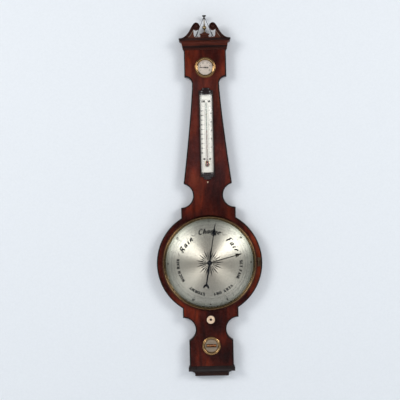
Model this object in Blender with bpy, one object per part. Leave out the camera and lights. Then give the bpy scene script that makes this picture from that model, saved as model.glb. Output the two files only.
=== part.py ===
"""Siphon-tube wheel barometer in a banjo case, with swan-neck pediment, hygrometer, thermometer,
engraved main dial, set hand worked from a bone knob, and spirit level.

Heights below are in millimetres from the centre of the main dial, x is to the right as seen from the
front, and y is depth: 0 is the flat back of the case (the wall) and negative y comes towards the viewer.
The finished frame is in metres, +Z up, with its origin on the wall plane at the top of the hanging wire.
"""
import math

import bmesh
import bpy
from mathutils import Vector

# ------------------------------------------------------------------ driving dimensions (mm)
HANG = 716.0            # top of the hanging wire above the dial centre
CASE_T = 30.0           # thickness of the case board
VENEER_F, VENEER_B = -31.5, -30.3
STRING_W = 3.2          # width of the ebonised edge stringing
GAP = 0.3               # clearance kept between pieces that touch

R_CASE = 153.0          # round of the case
BLOCK_X = 60.9          # half width of the head block
FOOT_X = 63.8           # half width of the lower block
SHOULDER_UP_X, SHOULDER_LO_X = 79.0, 80.5
Z_TOP, Z_BOTTOM = 651.7, -314.0

R_DIAL = 127.0
DIAL_F, DIAL_B = -31.8, -30.3
R_BEZEL_OUT, R_BEZEL_IN = 139.0, 125.0
BEZEL_B = -32.1
R_SCREWS = 120.5

HAND_REST_DEG = 9.3     # clockwise from the top of the dial
SET_REST_DEG = 75.2

PULLEY_R = 7.04         # thread centre radius: 38.1 mm of float travel over the 310 degree scale
TUBE_Y = -13.6          # plane of the siphon tube
SHORT_X, LONG_X = PULLEY_R, 27.5
TUBE_RO, TUBE_RI, MERC_R = 4.5, 3.2, 2.9
Z_SHORT_OPEN, Z_BEND, Z_LONG_TOP = -20.0, -240.0, 600.0
Z_MERC_SHORT = -195.0
Z_MERC_LONG = Z_MERC_SHORT + 29.59 * 25.4

MODULE, N_CROWN, N_PINION = 0.7, 24, 8
R_CROWN, R_PINION = MODULE * N_CROWN / 2, MODULE * N_PINION / 2
ROD_Y = -23.8
Z_KNOB = -164.7

Z_HYGRO = 567.5
Z_LEVEL = -240.4
TH_LO, TH_HI = 242.0, 509.0

AXIS_DOOR = (-17.15, -1.5)      # x, y of the back door's hinge axis
AXIS_BEZEL = (141.4, -34.4)     # x, y of the bezel's hinge axis

# ------------------------------------------------------------------ clear the scene
for o in list(bpy.data.objects):
    bpy.data.objects.remove(o, do_unlink=True)


def world(p):
    return Vector((p[0], p[1], p[2] - HANG)) * 0.001


# ------------------------------------------------------------------ materials
def material(name, colour, rough, metal=0.0, alpha=1.0):
    m = bpy.data.materials.new(name)
    m.use_nodes = True
    b = m.node_tree.nodes["Principled BSDF"]
    b.inputs["Base Color"].default_value = (*colour, 1.0)
    b.inputs["Roughness"].default_value = rough
    b.inputs["Metallic"].default_value = metal
    b.inputs["Alpha"].default_value = alpha
    m.diffuse_color = (*colour, alpha)
    return m


MAHOGANY = material("mahogany", (0.10, 0.022, 0.010), 0.30)
FLAME = material("flame_veneer", (0.17, 0.035, 0.012), 0.22)
EBONY = material("ebonised", (0.012, 0.009, 0.010), 0.30)
PINE = material("pine", (0.45, 0.27, 0.13), 0.70)
SILVERED = material("silvered_brass", (0.62, 0.60, 0.55), 0.38, 1.0)
BRASS = material("brass", (0.66, 0.47, 0.22), 0.28, 1.0)
STEEL = material("blued_steel", (0.020, 0.022, 0.030), 0.30, 1.0)
IRON = material("steel", (0.30, 0.30, 0.31), 0.40, 1.0)
GLASS = material("glass", (0.92, 0.96, 0.95), 0.03, 0.0, 0.25)
BONE = material("bone", (0.80, 0.66, 0.48), 0.40)
MERCURY = material("mercury", (0.75, 0.76, 0.78), 0.06, 1.0)
SPIRIT = material("spirit", (0.55, 0.20, 0.06), 0.10)
SILK = material("silk", (0.25, 0.20, 0.14), 0.8)
STRAW = material("oat_beard", (0.50, 0.36, 0.16), 0.7)

# ------------------------------------------------------------------ bodies (empties on the joint axes)
EMPTIES = {}


def body(name, at=(0, 0, HANG)):
    e = bpy.data.objects.new("body_" + name, None)
    e.location = world(at)
    bpy.context.scene.collection.objects.link(e)
    EMPTIES[name] = e
    return e


body("case")
body("pointer", (0, TUBE_Y, 0))
body("set_pointer", (0, DIAL_F, 0))
body("setting_rod", (0, ROD_Y, -80))
body("setting_knob", (0, -30, Z_KNOB))
body("float", (SHORT_X, TUBE_Y, -180))
body("counterweight", (-PULLEY_R, TUBE_Y - 2.6, -70))
body("back_door", (AXIS_DOOR[0], AXIS_DOOR[1], 170))
body("main_bezel", (AXIS_BEZEL[0], AXIS_BEZEL[1], 0))
body("hygrometer_pointer", (0, -30, Z_HYGRO))
body("turn_button", (44, -2.2, 100))


# ------------------------------------------------------------------ mesh helpers
def obj_from(name, verts, faces, mat, on="case", smooth=True, cutter=False):
    """An object from vertices in mm, placed by its location under its body's empty."""
    me = bpy.data.meshes.new(name)
    parent = EMPTIES[on]
    base = parent.location
    me.from_pydata([world(v) - base for v in verts], [], faces)
    bm = bmesh.new()
    bm.from_mesh(me)
    bmesh.ops.remove_doubles(bm, verts=bm.verts, dist=1e-6)
    bmesh.ops.recalc_face_normals(bm, faces=bm.faces)
    if bm.calc_volume(signed=True) < 0:
        bmesh.ops.reverse_faces(bm, faces=bm.faces)
    bm.to_mesh(me)
    bm.free()
    if smooth:
        me.shade_smooth()
        me.set_sharp_from_angle(angle=math.radians(30))
    ob = bpy.data.objects.new(name, me)
    bpy.context.scene.collection.objects.link(ob)
    if cutter:
        ob.location = base
        ob.hide_render = True
        ob.display_type = "WIRE"
    else:
        ob.parent = parent
        me.materials.append(mat)
    return ob


def triangulate(loops):
    """Triangles over the area between closed (x, z) loops, as indices into the joined loops."""
    bm = bmesh.new()
    edges = []
    for loop in loops:
        vs = [bm.verts.new((x * 0.001, 0, z * 0.001)) for x, z in loop]
        for i in range(len(vs)):
            edges.append(bm.edges.new((vs[i], vs[(i + 1) % len(vs)])))
    bm.verts.index_update()
    bmesh.ops.triangle_fill(bm, use_beauty=True, use_dissolve=False, edges=edges, normal=(0, -1, 0))
    tris = [tuple(v.index for v in f.verts) for f in bm.faces]
    bm.free()
    return tris


def prism(name, loops, y_front, y_back, mat, on="case", cutter=False, smooth=True):
    """A plate of any outline with holes, between two depths. loops[0] is the outline, in (x, z)."""
    pts = [p for loop in loops for p in loop]
    n = len(pts)
    verts = [(x, y_front, z) for x, z in pts] + [(x, y_back, z) for x, z in pts]
    tris = triangulate(loops)
    faces = list(tris) + [tuple(i + n for i in reversed(t)) for t in tris]
    start = 0
    for loop in loops:
        m = len(loop)
        for i in range(m):
            a, b = start + i, start + (i + 1) % m
            faces.append((a, b, b + n, a + n))
        start += m
    return obj_from(name, verts, faces, mat, on, smooth, cutter)


def plate_xy(name, loops, z0, z1, mat, on="case", cutter=False):
    """A plate whose outline is drawn in (x, y), between two heights."""
    pts = [p for loop in loops for p in loop]
    n = len(pts)
    verts = [(x, y, z0) for x, y in pts] + [(x, y, z1) for x, y in pts]
    tris = triangulate(loops)
    faces = list(tris) + [tuple(i + n for i in reversed(t)) for t in tris]
    start = 0
    for loop in loops:
        m = len(loop)
        for i in range(m):
            a, b = start + i, start + (i + 1) % m
            faces.append((a, b, b + n, a + n))
        start += m
    return obj_from(name, verts, faces, mat, on, True, cutter)


def circle(cx, cz, r, n, start=0.0):
    return [(cx + r * math.cos(start + 2 * math.pi * i / n), cz + r * math.sin(start + 2 * math.pi * i / n)) for i in range(n)]


def arc(cx, cz, r, a0, a1, n):
    return [(cx + r * math.cos(math.radians(a0 + (a1 - a0) * i / n)), cz + r * math.sin(math.radians(a0 + (a1 - a0) * i / n))) for i in range(n + 1)]


def lathe(name, profile, centre, seg, mat, on="case", axis="Y", closed=True, cutter=False):
    """A turned piece. profile is (radius, height along the axis); closed for a ring, open if it meets the axis at both ends."""
    verts, rows = [], []
    cx, cy, cz = centre
    for r, h in profile:
        row = []
        count = 1 if r < 1e-9 else seg
        for k in range(count):
            a = 2 * math.pi * k / seg
            u, v = r * math.cos(a), r * math.sin(a)
            verts.append((cx + u, cy + h, cz + v) if axis == "Y" else (cx + u, cy + v, cz + h))
            row.append(len(verts) - 1)
        rows.append(row)
    faces = []
    pairs = list(zip(rows, rows[1:]))
    if closed:
        pairs.append((rows[-1], rows[0]))
    for a, b in pairs:
        for k in range(seg):
            k2 = (k + 1) % seg
            q = [a[k % len(a)], a[k2 % len(a)], b[k2 % len(b)], b[k % len(b)]]
            q = [x for i, x in enumerate(q) if x not in q[:i]]
            if len(q) > 2:
                faces.append(tuple(q))
    return obj_from(name, verts, faces, mat, on, True, cutter)


def box(name, lo, hi, mat=None, on="case", cutter=False):
    (x0, y0, z0), (x1, y1, z1) = lo, hi
    return prism(name, [[(x0, z0), (x1, z0), (x1, z1), (x0, z1)]], min(y0, y1), max(y0, y1), mat, on, cutter, smooth=False)


def apply_boolean(ob, others, operation="DIFFERENCE"):
    for other in others:
        m = ob.modifiers.new(operation.lower(), "BOOLEAN")
        m.operation = operation
        m.solver = "EXACT"
        m.object = other
        other.hide_render = True
        other.display_type = "WIRE"
    return ob


def cyl_y(name, cx, cz, r, y0, y1, seg, mat=None, on="case", cutter=False):
    return lathe(name, [(0, y0), (r, y0), (r, y1), (0, y1)], (cx, 0, cz), seg, mat, on, "Y", False, cutter)


def cyl_z(name, cx, cy, r, z0, z1, seg, mat=None, on="case", cutter=False):
    return lathe(name, [(0, z0), (r, z0), (r, z1), (0, z1)], (cx, cy, 0), seg, mat, on, "Z", False, cutter)


def frames(path):
    """Parallel-transported frames along a path of points."""
    out, prev = [], None
    for i, p in enumerate(path):
        a = path[max(i - 1, 0)]
        b = path[min(i + 1, len(path) - 1)]
        t = (Vector(b) - Vector(a)).normalized()
        if prev is None:
            n = t.cross(Vector((0, 1, 0)))
            if n.length < 1e-6:
                n = Vector((1, 0, 0))
            n.normalize()
        else:
            n = (prev - t * prev.dot(t)).normalized()
        prev = n
        out.append((Vector(p), n, t.cross(n)))
    return out


def swept(name, path, radius, seg, mat, on="case", inner=None, inner_path=None):
    """A round rod along a path, or, with inner, a tube that is open at the path's start and closed at its end."""
    verts, faces = [], []

    def rings(pts, r):
        first = len(verts)
        for p, n, b in frames(pts):
            for k in range(seg):
                a = 2 * math.pi * k / seg
                verts.append(tuple(p + n * (r * math.cos(a)) + b * (r * math.sin(a))))
        for i in range(len(pts) - 1):
            for k in range(seg):
                k2 = (k + 1) % seg
                faces.append((first + i * seg + k, first + i * seg + k2, first + (i + 1) * seg + k2, first + (i + 1) * seg + k))
        return first, first + (len(pts) - 1) * seg

    o0, o1 = rings(path, radius)
    faces.append(tuple(o1 + k for k in range(seg)))
    if inner is None:
        faces.append(tuple(o0 + k for k in reversed(range(seg))))
    else:
        i0, i1 = rings(inner_path, inner)
        faces.append(tuple(i1 + k for k in range(seg)))
        for k in range(seg):
            k2 = (k + 1) % seg
            faces.append((o0 + k, o0 + k2, i0 + k2, i0 + k))
    return obj_from(name, verts, faces, mat, on)


# ------------------------------------------------------------------ the banjo outline
CUT_LO = (79.5, -193.0, 35.0)     # centre x, z and radius of the lower cut-outs
CUT_UP = (78.3, 196.6, 34.8)      # of the upper cut-outs
CUT_HEAD = (59.5, 521.0, 20.3)    # of the small quarter-rounds under the head block


def trunk_x(z):
    """Half width of the flared trunk, between the head block and the upper cut-outs."""
    return 39.2 + 30.4 * (max(520.0 - z, 0.0) / 285.0) ** 1.2425


def half_outline(d=0.0, steps=8):
    """The right half of the outline, moved inwards by d, from the foot to the top of the head block."""

    def side(cx, r, x):
        """Degrees away from the arc's left point where it meets the vertical at x."""
        return math.degrees(math.acos(min(max((cx - x) / r, 0.0), 1.0)))

    pts = [(FOOT_X - d, Z_BOTTOM + d)]
    cx, cz, r = CUT_LO[0], CUT_LO[1], CUT_LO[2] + d
    pts += arc(cx, cz, r, 180 + side(cx, r, FOOT_X - d), 180 - side(cx, r, SHOULDER_LO_X - d), steps)
    if SHOULDER_LO_X - d > cx + 0.05:
        pts.append((SHOULDER_LO_X - d, cz + r))
    rc = R_CASE - d
    a_lo = math.degrees(math.acos((SHOULDER_LO_X - d) / rc))
    a_up = math.degrees(math.acos((SHOULDER_UP_X - d) / rc))
    pts += arc(0, 0, rc, -a_lo, a_up, 2 * steps)
    cx, cz, r = CUT_UP[0], CUT_UP[1], CUT_UP[2] + d
    if SHOULDER_UP_X - d > cx + 0.05:
        pts.append((SHOULDER_UP_X - d, cz - r))
    lo, hi = 91.0, 150.0
    for _ in range(40):
        m = (lo + hi) / 2
        if cx + r * math.cos(math.radians(m)) > trunk_x(cz + r * math.sin(math.radians(m))) - d:
            lo = m
        else:
            hi = m
    pts += arc(cx, cz, r, 180 + side(cx, r, SHOULDER_UP_X - d), lo, steps)
    z_tip = pts[-1][1]
    for i in range(1, 9):
        z = z_tip + (520.0 - z_tip) * i / 8
        pts.append((trunk_x(z) - d, z))
    cx, cz, r = CUT_HEAD[0], CUT_HEAD[1], CUT_HEAD[2] + d
    pts += arc(cx, cz, r, 180, 180 - side(cx, r, BLOCK_X - d), 6)
    if BLOCK_X - d > cx + 0.05:
        pts.append((BLOCK_X - d, cz + r))
    pts.append((BLOCK_X - d, Z_TOP - d))
    return pts


def whole_outline(d=0.0):
    half = half_outline(d)
    return half + [(-x, z) for x, z in reversed(half)]


# ------------------------------------------------------------------ case board
board = prism("case_board", [whole_outline()], -CASE_T, 0.0, PINE)
cuts = [
    box("cut_channel", (-14, -19.5, -262), (34, -5, 606), cutter=True),
    box("cut_rebate", (-17.45, -8.0, -275.3), (36.3, 2, 612.3), cutter=True),
    cyl_y("cut_works", 0, 0, 32, -33, -8.2, 32, cutter=True),
    lathe("cut_knob", [(0, -33), (1.9, -33), (1.9, -27.5), (10.8, -27.5), (10.8, -15), (0, -15)], (0, 0, Z_KNOB), 24, None, closed=False, cutter=True),
    box("cut_rod", (-4.3, -27.2, Z_KNOB + 4), (4.3, -17, -20), cutter=True),
    cyl_y("cut_hygro", 0, Z_HYGRO, 23.6, -33, -22.2, 32, cutter=True),
    box("cut_level", (-20, -33, Z_LEVEL - 4.9), (20, -21.3, Z_LEVEL + 4.9), cutter=True),
    lathe("cut_button", [(0, -14), (2.1, -14), (2.1, -3.1), (12.8, -3.1), (12.8, 2), (0, 2)], (44, 0, 100), 24, None, closed=False, cutter=True),
]
for sx in (-1, 1):
    cuts.append(cyl_z(f"cut_eye_{sx}", 23.6 * sx, -12, 1.3, 636, 660, 8, cutter=True))
for zc in (-180, 520):
    cuts.append(box(f"cut_hinge_{zc}", (-31.3, -3.2, zc - 12.8), (-17.0, 2, zc + 12.8), cutter=True))
for k in range(4):
    a = math.radians(90 * k)
    cuts.append(cyl_y(f"cut_dial_screw_{k}", R_SCREWS * math.sin(a), R_SCREWS * math.cos(a), 1.5, -33, -28.0, 8, cutter=True))
apply_boolean(board, cuts)

# ------------------------------------------------------------------ veneer and edge stringing
prism("edge_stringing", [whole_outline(), whole_outline(STRING_W)], -31.8, VENEER_B, EBONY)
prism("front_veneer", [whole_outline(STRING_W + GAP), circle(0, 0, R_DIAL + 0.4, 64),
                       circle(0, Z_HYGRO, 23.6, 32), circle(0, Z_LEVEL, 20.4, 32), circle(0, Z_KNOB, 2.6, 12)],
      VENEER_F, VENEER_B, FLAME)


# ------------------------------------------------------------------ mouldings that wrap the front and both sides
def wrapped(name, profile, half, mat):
    """A moulding mitred round three sides of the case; profile is (projection, z)."""
    verts, faces, m = [], [], len(profile)
    for sx, back in ((1, True), (1, False), (-1, False), (-1, True)):
        for d, z in profile:
            verts.append((sx * (half + d), -0.3 if back else -32.1 - d, z))
    for i in range(3):
        for k in range(m):
            k2 = (k + 1) % m
            faces.append((i * m + k, i * m + k2, (i + 1) * m + k2, (i + 1) * m + k))
    for first in (0, 3 * m):
        for a, b, c in triangulate([profile]):
            faces.append((first + a, first + b, first + c))
    return obj_from(name, verts, faces, mat)


wrapped("cornice_moulding",
        [(0, 619), (2.2, 619), (2.2, 622.6), (4.4, 623.6), (4.9, 627.0), (6.3, 631.2), (8.8, 635.0),
         (12.2, 638.0), (12.2, 640.4), (13.6, 641.0), (13.6, 651.7), (0, 651.7)], BLOCK_X + GAP, MAHOGANY)
wrapped("base_moulding",
        [(0, -314), (2.4, -314), (3.3, -312.6), (3.3, -303.8), (2.6, -301.6), (1.2, -299.8), (1.2, -299), (0, -299)],
        FOOT_X + GAP, EBONY)


# ------------------------------------------------------------------ base foot: a shallow block with a hollow edge
def loft_block(name, sections, mat, on="case"):
    """Rectangular sections (half width x, y front, y back, z) stacked into one block."""
    verts, faces = [], []
    for hx, yf, yb, z in sections:
        verts += [(-hx, yf, z), (hx, yf, z), (hx, yb, z), (-hx, yb, z)]
    for i in range(len(sections) - 1):
        for k in range(4):
            k2 = (k + 1) % 4
            faces.append((4 * i + k, 4 * i + k2, 4 * i + 4 + k2, 4 * i + 4 + k))
    faces += [(3, 2, 1, 0), tuple(4 * (len(sections) - 1) + k for k in range(4))]
    return obj_from(name, verts, faces, mat, on, smooth=False)


loft_block("base_foot",
           [(47.0, -20.5, -0.3, -329.0), (48.8, -22.0, -0.3, -329.0 + 1.2), (48.8, -22.2, -0.3, -324.0),
            (49.6, -24.6, -0.3, -320.5), (52.4, -28.0, -0.3, -317.6), (55.6, -30.6, -0.3, -316.2), (55.6, -30.6, -0.3, -314.3)], MAHOGANY)

# ------------------------------------------------------------------ pediment
P0, P1, P2, P3 = (24.0, 697.0), (40.0, 697.0), (42.0, 652.0), (74.7, 652.0)
BAND = 7.5
EYE = (24.0, 685.7, 11.3)   # scroll centre and radius


def bezier(t, o=0.0):
    """A point on the swan neck's upper line, moved inwards by o."""
    s = 1 - t
    x = s ** 3 * P0[0] + 3 * s * s * t * P1[0] + 3 * s * t * t * P2[0] + t ** 3 * P3[0]
    z = s ** 3 * P0[1] + 3 * s * s * t * P1[1] + 3 * s * t * t * P2[1] + t ** 3 * P3[1]
    dx = 3 * (s * s * (P1[0] - P0[0]) + 2 * s * t * (P2[0] - P1[0]) + t * t * (P3[0] - P2[0]))
    dz = 3 * (s * s * (P1[1] - P0[1]) + 2 * s * t * (P2[1] - P1[1]) + t * t * (P3[1] - P2[1]))
    m = math.hypot(dx, dz)
    return (x + o * dz / m, z - o * dx / m)


def swan_loop():
    base = 652.2
    outer = [bezier(1 - i / 18) for i in range(19)]
    outer[0] = (P3[0], base + 1.2)
    scroll = arc(EYE[0], EYE[1], EYE[2], 90, 340, 20)[1:]
    inner = []
    for i in range(1, 18):
        p = bezier(i / 18, BAND)
        if math.hypot(p[0] - EYE[0], p[1] - EYE[1]) > EYE[2] + 0.6 and p[1] > base + 0.4 and p[0] > scroll[-1][0]:
            inner.append(p)
    x_end = inner[-1][0] + 4.0
    return [(P3[0], base)] + outer + scroll + inner + [(x_end, base)]


SWAN = swan_loop()
for side, sx in (("right", 1), ("left", -1)):
    loop = [(sx * x, z) for x, z in SWAN]
    prism(f"swan_neck_{side}", [loop], -45.5, -38.3, MAHOGANY)


def pediment_half():
    """The board behind the swan necks, with a rounded opening either side of the plinth."""
    edge = [bezier(1 - i / 14, 1.0) for i in range(1, 15)]
    scroll = arc(EYE[0], EYE[1], EYE[2] - 1.0, 90, 330, 14)[1:]
    void = [(31.8, 674.0), (31.4, 667.0), (31.2, 661.5), (29.6, 657.6), (26.6, 655.3)]
    return [(72.5, 652.2)] + edge + scroll + void


ph = pediment_half()
prism("pediment_board", [ph + [(-x, z) for x, z in reversed(ph)]], -38.0, -28.2, MAHOGANY)
loft_block("finial_plinth",
           [(12.4, -43.0, -29.0, 655.6), (12.4, -43.0, -29.0, 661.6), (13.9, -44.5, -28.0, 662.0),
            (13.9, -44.5, -28.0, 664.4), (9.0, -41.0, -31.0, 665.4), (4.2, -39.4, -32.6, 668.6)], MAHOGANY)
lathe("finial", [(0, 668.9), (3.6, 668.9), (3.6, 670.0), (1.7, 671.2), (1.5, 674.0), (2.9, 675.2), (2.9, 676.0), (2.0, 676.8)]
      + [(6.0 * math.sin(math.radians(a)), 682.6 - 6.0 * math.cos(math.radians(a))) for a in (30, 50, 70, 90, 110, 130, 150)]
      + [(2.1, 689.0), (2.7, 689.8), (2.7, 690.4), (1.3, 691.6), (0.7, 706.4), (0, 707.0)],
      (0, -36.0, 0), 14, BRASS, axis="Z", closed=False)

# ------------------------------------------------------------------ hanging wire and its screw eyes
for side, sx in (("left", -1), ("right", 1)):
    ring, seg, sub = [], 16, 8
    verts, faces = [], []
    cz, R, r = 657.6, 3.8, 0.85
    for i in range(seg):
        a = 2 * math.pi * i / seg
        for j in range(sub):
            b = 2 * math.pi * j / sub
            q = R + r * math.cos(b)
            verts.append((23.6 * sx + q * math.cos(a), -12 + r * math.sin(b), cz + q * math.sin(a)))
            i2, j2 = (i + 1) % seg, (j + 1) % sub
            faces.append((i * sub + j, i2 * sub + j, i2 * sub + j2, i * sub + j2))
    eye = obj_from(f"screw_eye_{side}", verts, faces, IRON)
    shank = cyl_z(f"shank_{side}", 23.6 * sx, -12, 0.95, 640, cz - R + 0.3, 8, cutter=True)
    apply_boolean(eye, [shank], "UNION")

WIRE_R = 0.6


def wire_route():
    """Up from the left eye, over the nail and down to the right eye."""
    top_r = 2.9
    left, right = Vector((-23.6, -12.0, 662.6)), Vector((23.6, -12.0, 662.6))
    centre = Vector((0, -4.5, HANG - top_r - WIRE_R))
    pts = []
    ang = math.degrees(math.atan2(23.6, centre.z - left.z))
    bend = [(centre.x + top_r * math.cos(math.radians(a)), centre.z + top_r * math.sin(math.radians(a)))
            for a in [180 - ang + (-(180 - 2 * ang)) * i / 8 for i in range(9)]]
    start = Vector((bend[0][0], centre.y, bend[0][1]))
    for i in range(10):
        pts.append(tuple(left.lerp(start, i / 10)))
    pts += [(x, centre.y, z) for x, z in bend]
    end = Vector((bend[-1][0], centre.y, bend[-1][1]))
    for i in range(1, 11):
        pts.append(tuple(end.lerp(right, i / 10)))
    return pts


curve = bpy.data.curves.new("hanging_wire", "CURVE")
curve.dimensions = "3D"
spline = curve.splines.new("POLY")
route = wire_route()
spline.points.add(len(route) - 1)
for p, q in zip(spline.points, route):
    p.co = (*(world(q) - EMPTIES["case"].location), 1.0)
curve.bevel_depth = WIRE_R * 0.001
curve.bevel_resolution = 2
curve.use_fill_caps = True
curve.materials.append(IRON)
wire = bpy.data.objects.new("hanging_wire", curve)
bpy.context.scene.collection.objects.link(wire)
wire.parent = EMPTIES["case"]

# ------------------------------------------------------------------ main dial and its screws
prism("dial_plate", [circle(0, 0, R_DIAL, 64), circle(0, 0, 2.6, 16)]
      + [circle(R_SCREWS * math.sin(math.radians(90 * k)), R_SCREWS * math.cos(math.radians(90 * k)), 1.5, 8) for k in range(4)],
      DIAL_F, DIAL_B, SILVERED)
for k, where in enumerate(("top", "right", "bottom", "left")):
    a = math.radians(90 * k)
    lathe(f"dial_screw_{where}", [(0, -33.3), (1.6, -33.2), (2.4, -32.7), (2.4, -32.1), (1.15, -32.1), (1.15, -28.6), (0, -28.3)],
          (R_SCREWS * math.sin(a), 0, R_SCREWS * math.cos(a)), 12, BRASS, closed=False)

# ------------------------------------------------------------------ bezel and glass, hinged on the right
bezel = lathe("main_bezel", [(125.0, -32.1), (139.0, -32.1), (139.0, -34.4), (138.2, -37.6), (136.2, -40.6), (133.4, -42.4),
                             (130.6, -42.9), (128.4, -42.5), (128.4, -39.0), (125.0, -39.0)], (0, 0, 0), 64, BRASS, "main_bezel")
ax, ay = AXIS_BEZEL
tabs = []
for k, (z0, z1) in enumerate(((-13.0, -5.0), (5.0, 13.0))):
    tab = lathe(f"bezel_knuckle_{k}", [(0.8, z0), (2.0, z0), (2.0, z1), (0.8, z1)], (ax, ay, 0), 12, BRASS, "main_bezel", "Z", True, cutter=True)
    web = box(f"bezel_web_{k}", (135.5, ay - 1.1, z0 + 0.1), (ax - 1.2, ay + 1.1, z1 - 0.1), on="main_bezel", cutter=True)
    tabs += [tab, web]
apply_boolean(bezel, tabs, "UNION")
leaf = box("bezel_hinge_leaf", (ax - 0.6, -33.2, -12.5), (149.0, -32.1, 12.5), BRASS)
kn = cyl_z("leaf_knuckle", ax, ay, 2.0, -4.7, 4.7, 12, cutter=True)
pin = cyl_z("leaf_pin", ax, ay, 0.7, -13.6, 13.6, 8, cutter=True)
for z0, z1 in ((-13.4, -4.7), (4.7, 13.4)):
    relief = box(f"cut_leaf_{z1}", (ax - 3, -36, z0), (ax + 2.4, -31, z1), cutter=True)
    apply_boolean(leaf, [relief])
apply_boolean(leaf, [kn, pin], "UNION")


def dome(r_edge, y_edge, sag, n):
    """(radius, y) points of a shallow spherical dome from its edge to its middle."""
    R = (r_edge ** 2 + sag ** 2) / (2 * sag)
    out = []
    for i in range(n + 1):
        r = r_edge * (1 - i / n)
        out.append((r, y_edge - (math.sqrt(R * R - r * r) - (R - sag))))
    return out


lathe("main_glass", list(reversed(dome(128.0, -41.2, 6.5, 6))) + dome(128.0, -39.3, 6.5, 6), (0, 0, 0), 40, GLASS, "main_bezel", closed=False)


# ------------------------------------------------------------------ hands
def turned(pts, clockwise_deg):
    a = math.radians(-clockwise_deg)
    return [(x * math.cos(a) - z * math.sin(a), x * math.sin(a) + z * math.cos(a)) for x, z in pts]


def mirrored(right):
    return right + [(-x, z) for x, z in reversed(right)]


# drawn pointing up: tail with a crescent, tapered stem, boss, long arm, barbed head and fine tip
hub = arc(0, 0, 7.0, -76, 76, 10)
pressure = mirrored(
    [(0.0, -73.8), (4.2, -72.9), (8.8, -69.3), (9.8, -60.6), (7.8, -63.6), (4.6, -65.2), (2.2, -64.4), (1.6, -59.0), (3.0, -34.0), (3.4, -20.0), (1.8, -6.8)]
    + hub + [(1.3, 6.9), (1.0, 40.0), (0.8, 84.0), (3.0, 83.2), (6.4, 80.0), (4.4, 87.5), (2.2, 97.0), (0.8, 103.0), (0.45, 114.5)])
pressure = [p for i, p in enumerate(pressure) if i == 0 or math.hypot(p[0] - pressure[i - 1][0], p[1] - pressure[i - 1][1]) > 1e-3]
prism("pressure_hand", [turned(pressure, HAND_REST_DEG), circle(0, 0, 1.5, 12)], -38.1, -37.1, STEEL, "pointer")
set_shape = mirrored(
    [(0.0, -19.0), (2.6, -18.0), (3.4, -15.0), (2.4, -12.0), (1.3, -10.6), (1.2, -5.8)] + arc(0, 0, 5.6, -76, 76, 8)
    + [(1.2, 5.5), (1.0, 40.0), (0.8, 79.0), (6.2, 76.0), (7.6, 78.0), (3.4, 88.0), (0.5, 99.5)])
prism("set_hand", [turned(set_shape, SET_REST_DEG), circle(0, 0, 2.8, 12)], -35.2, -34.3, BRASS, "set_pointer")
lathe("hand_arbor", [(0, -40.0), (0.9, -39.8), (1.2, -39.2), (1.2, -10.7), (0.8, -10.7), (0.8, -8.6), (0, -8.4)], (0, 0, 0), 12, IRON, "pointer", closed=False)
gr = PULLEY_R - 0.25 - GAP
lathe("thread_pulley", [(1.5, -17.6), (8.2, -17.6), (8.2, -17.2), (gr, -16.8), (gr, -15.6), (8.2, -15.2), (8.2, -14.6),
                        (gr, -14.2), (gr, -13.0), (8.2, -12.6), (8.2, -12.2), (1.5, -12.2)], (0, 0, 0), 20, BRASS, "pointer")

# ------------------------------------------------------------------ bridge that carries the arbor's back pivot
bridge = box("arbor_bridge", (-17.8, -10.2, -4.5), (17.8, -8.9, 4.5), BRASS)
legs = []
for sx in (-1, 1):
    x0, x1 = sorted((16.2 * sx, 17.8 * sx))
    legs.append(box(f"bridge_leg_{sx}", (x0, -30.0, -4.4), (x1, -9.4, 4.4), cutter=True))
    x0, x1 = sorted((16.3 * sx, 27.0 * sx))
    legs.append(box(f"bridge_foot_{sx}", (x0, -30.01, -4.3), (x1, -28.7, 4.3), cutter=True))
apply_boolean(bridge, legs, "UNION")
apply_boolean(bridge, [cyl_y("cut_pivot", 0, 0, 0.9, -12, -7, 10, cutter=True)])


# ------------------------------------------------------------------ set-hand gears
def crown_teeth(name, centre, root_y, sign, gap_deg):
    """Teeth of a contrate wheel. sign is the way they point along y; gap_deg is the angle of a gap."""
    verts, faces = [], []
    depths = ((-0.4, 0.62), (0.0, 0.60), (MODULE + 0.1, 0.36), (MODULE + 0.1 + 0.35, 0.22))
    for k in range(N_CROWN):
        phi = math.radians(gap_deg + (k + 0.5) * 360 / N_CROWN)
        first = len(verts)
        for rho in (R_CROWN - 0.9, R_CROWN + 0.9):
            for a, h in depths:
                for s in (-1, 1):
                    t = s * h * rho / R_CROWN
                    verts.append((centre[0] + rho * math.cos(phi) - t * math.sin(phi), root_y + sign * a,
                                  centre[1] + rho * math.sin(phi) + t * math.cos(phi)))
        m = len(depths)
        inner_ = [first + i for i in range(2 * m)]
        outer_ = [first + 2 * m + i for i in range(2 * m)]
        for i in range(m - 1):
            faces.append((inner_[2 * i], inner_[2 * i + 1], inner_[2 * i + 3], inner_[2 * i + 2]))
            faces.append((outer_[2 * i], outer_[2 * i + 2], outer_[2 * i + 3], outer_[2 * i + 1]))
            for s in (0, 1):
                faces.append((inner_[2 * i + s], inner_[2 * i + 2 + s], outer_[2 * i + 2 + s], outer_[2 * i + s]))
        for i in (0, m - 1):
            faces.append((inner_[2 * i], outer_[2 * i], outer_[2 * i + 1], inner_[2 * i + 1]))
    return obj_from(name, verts, faces, BRASS, "case", smooth=False, cutter=True)


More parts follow.
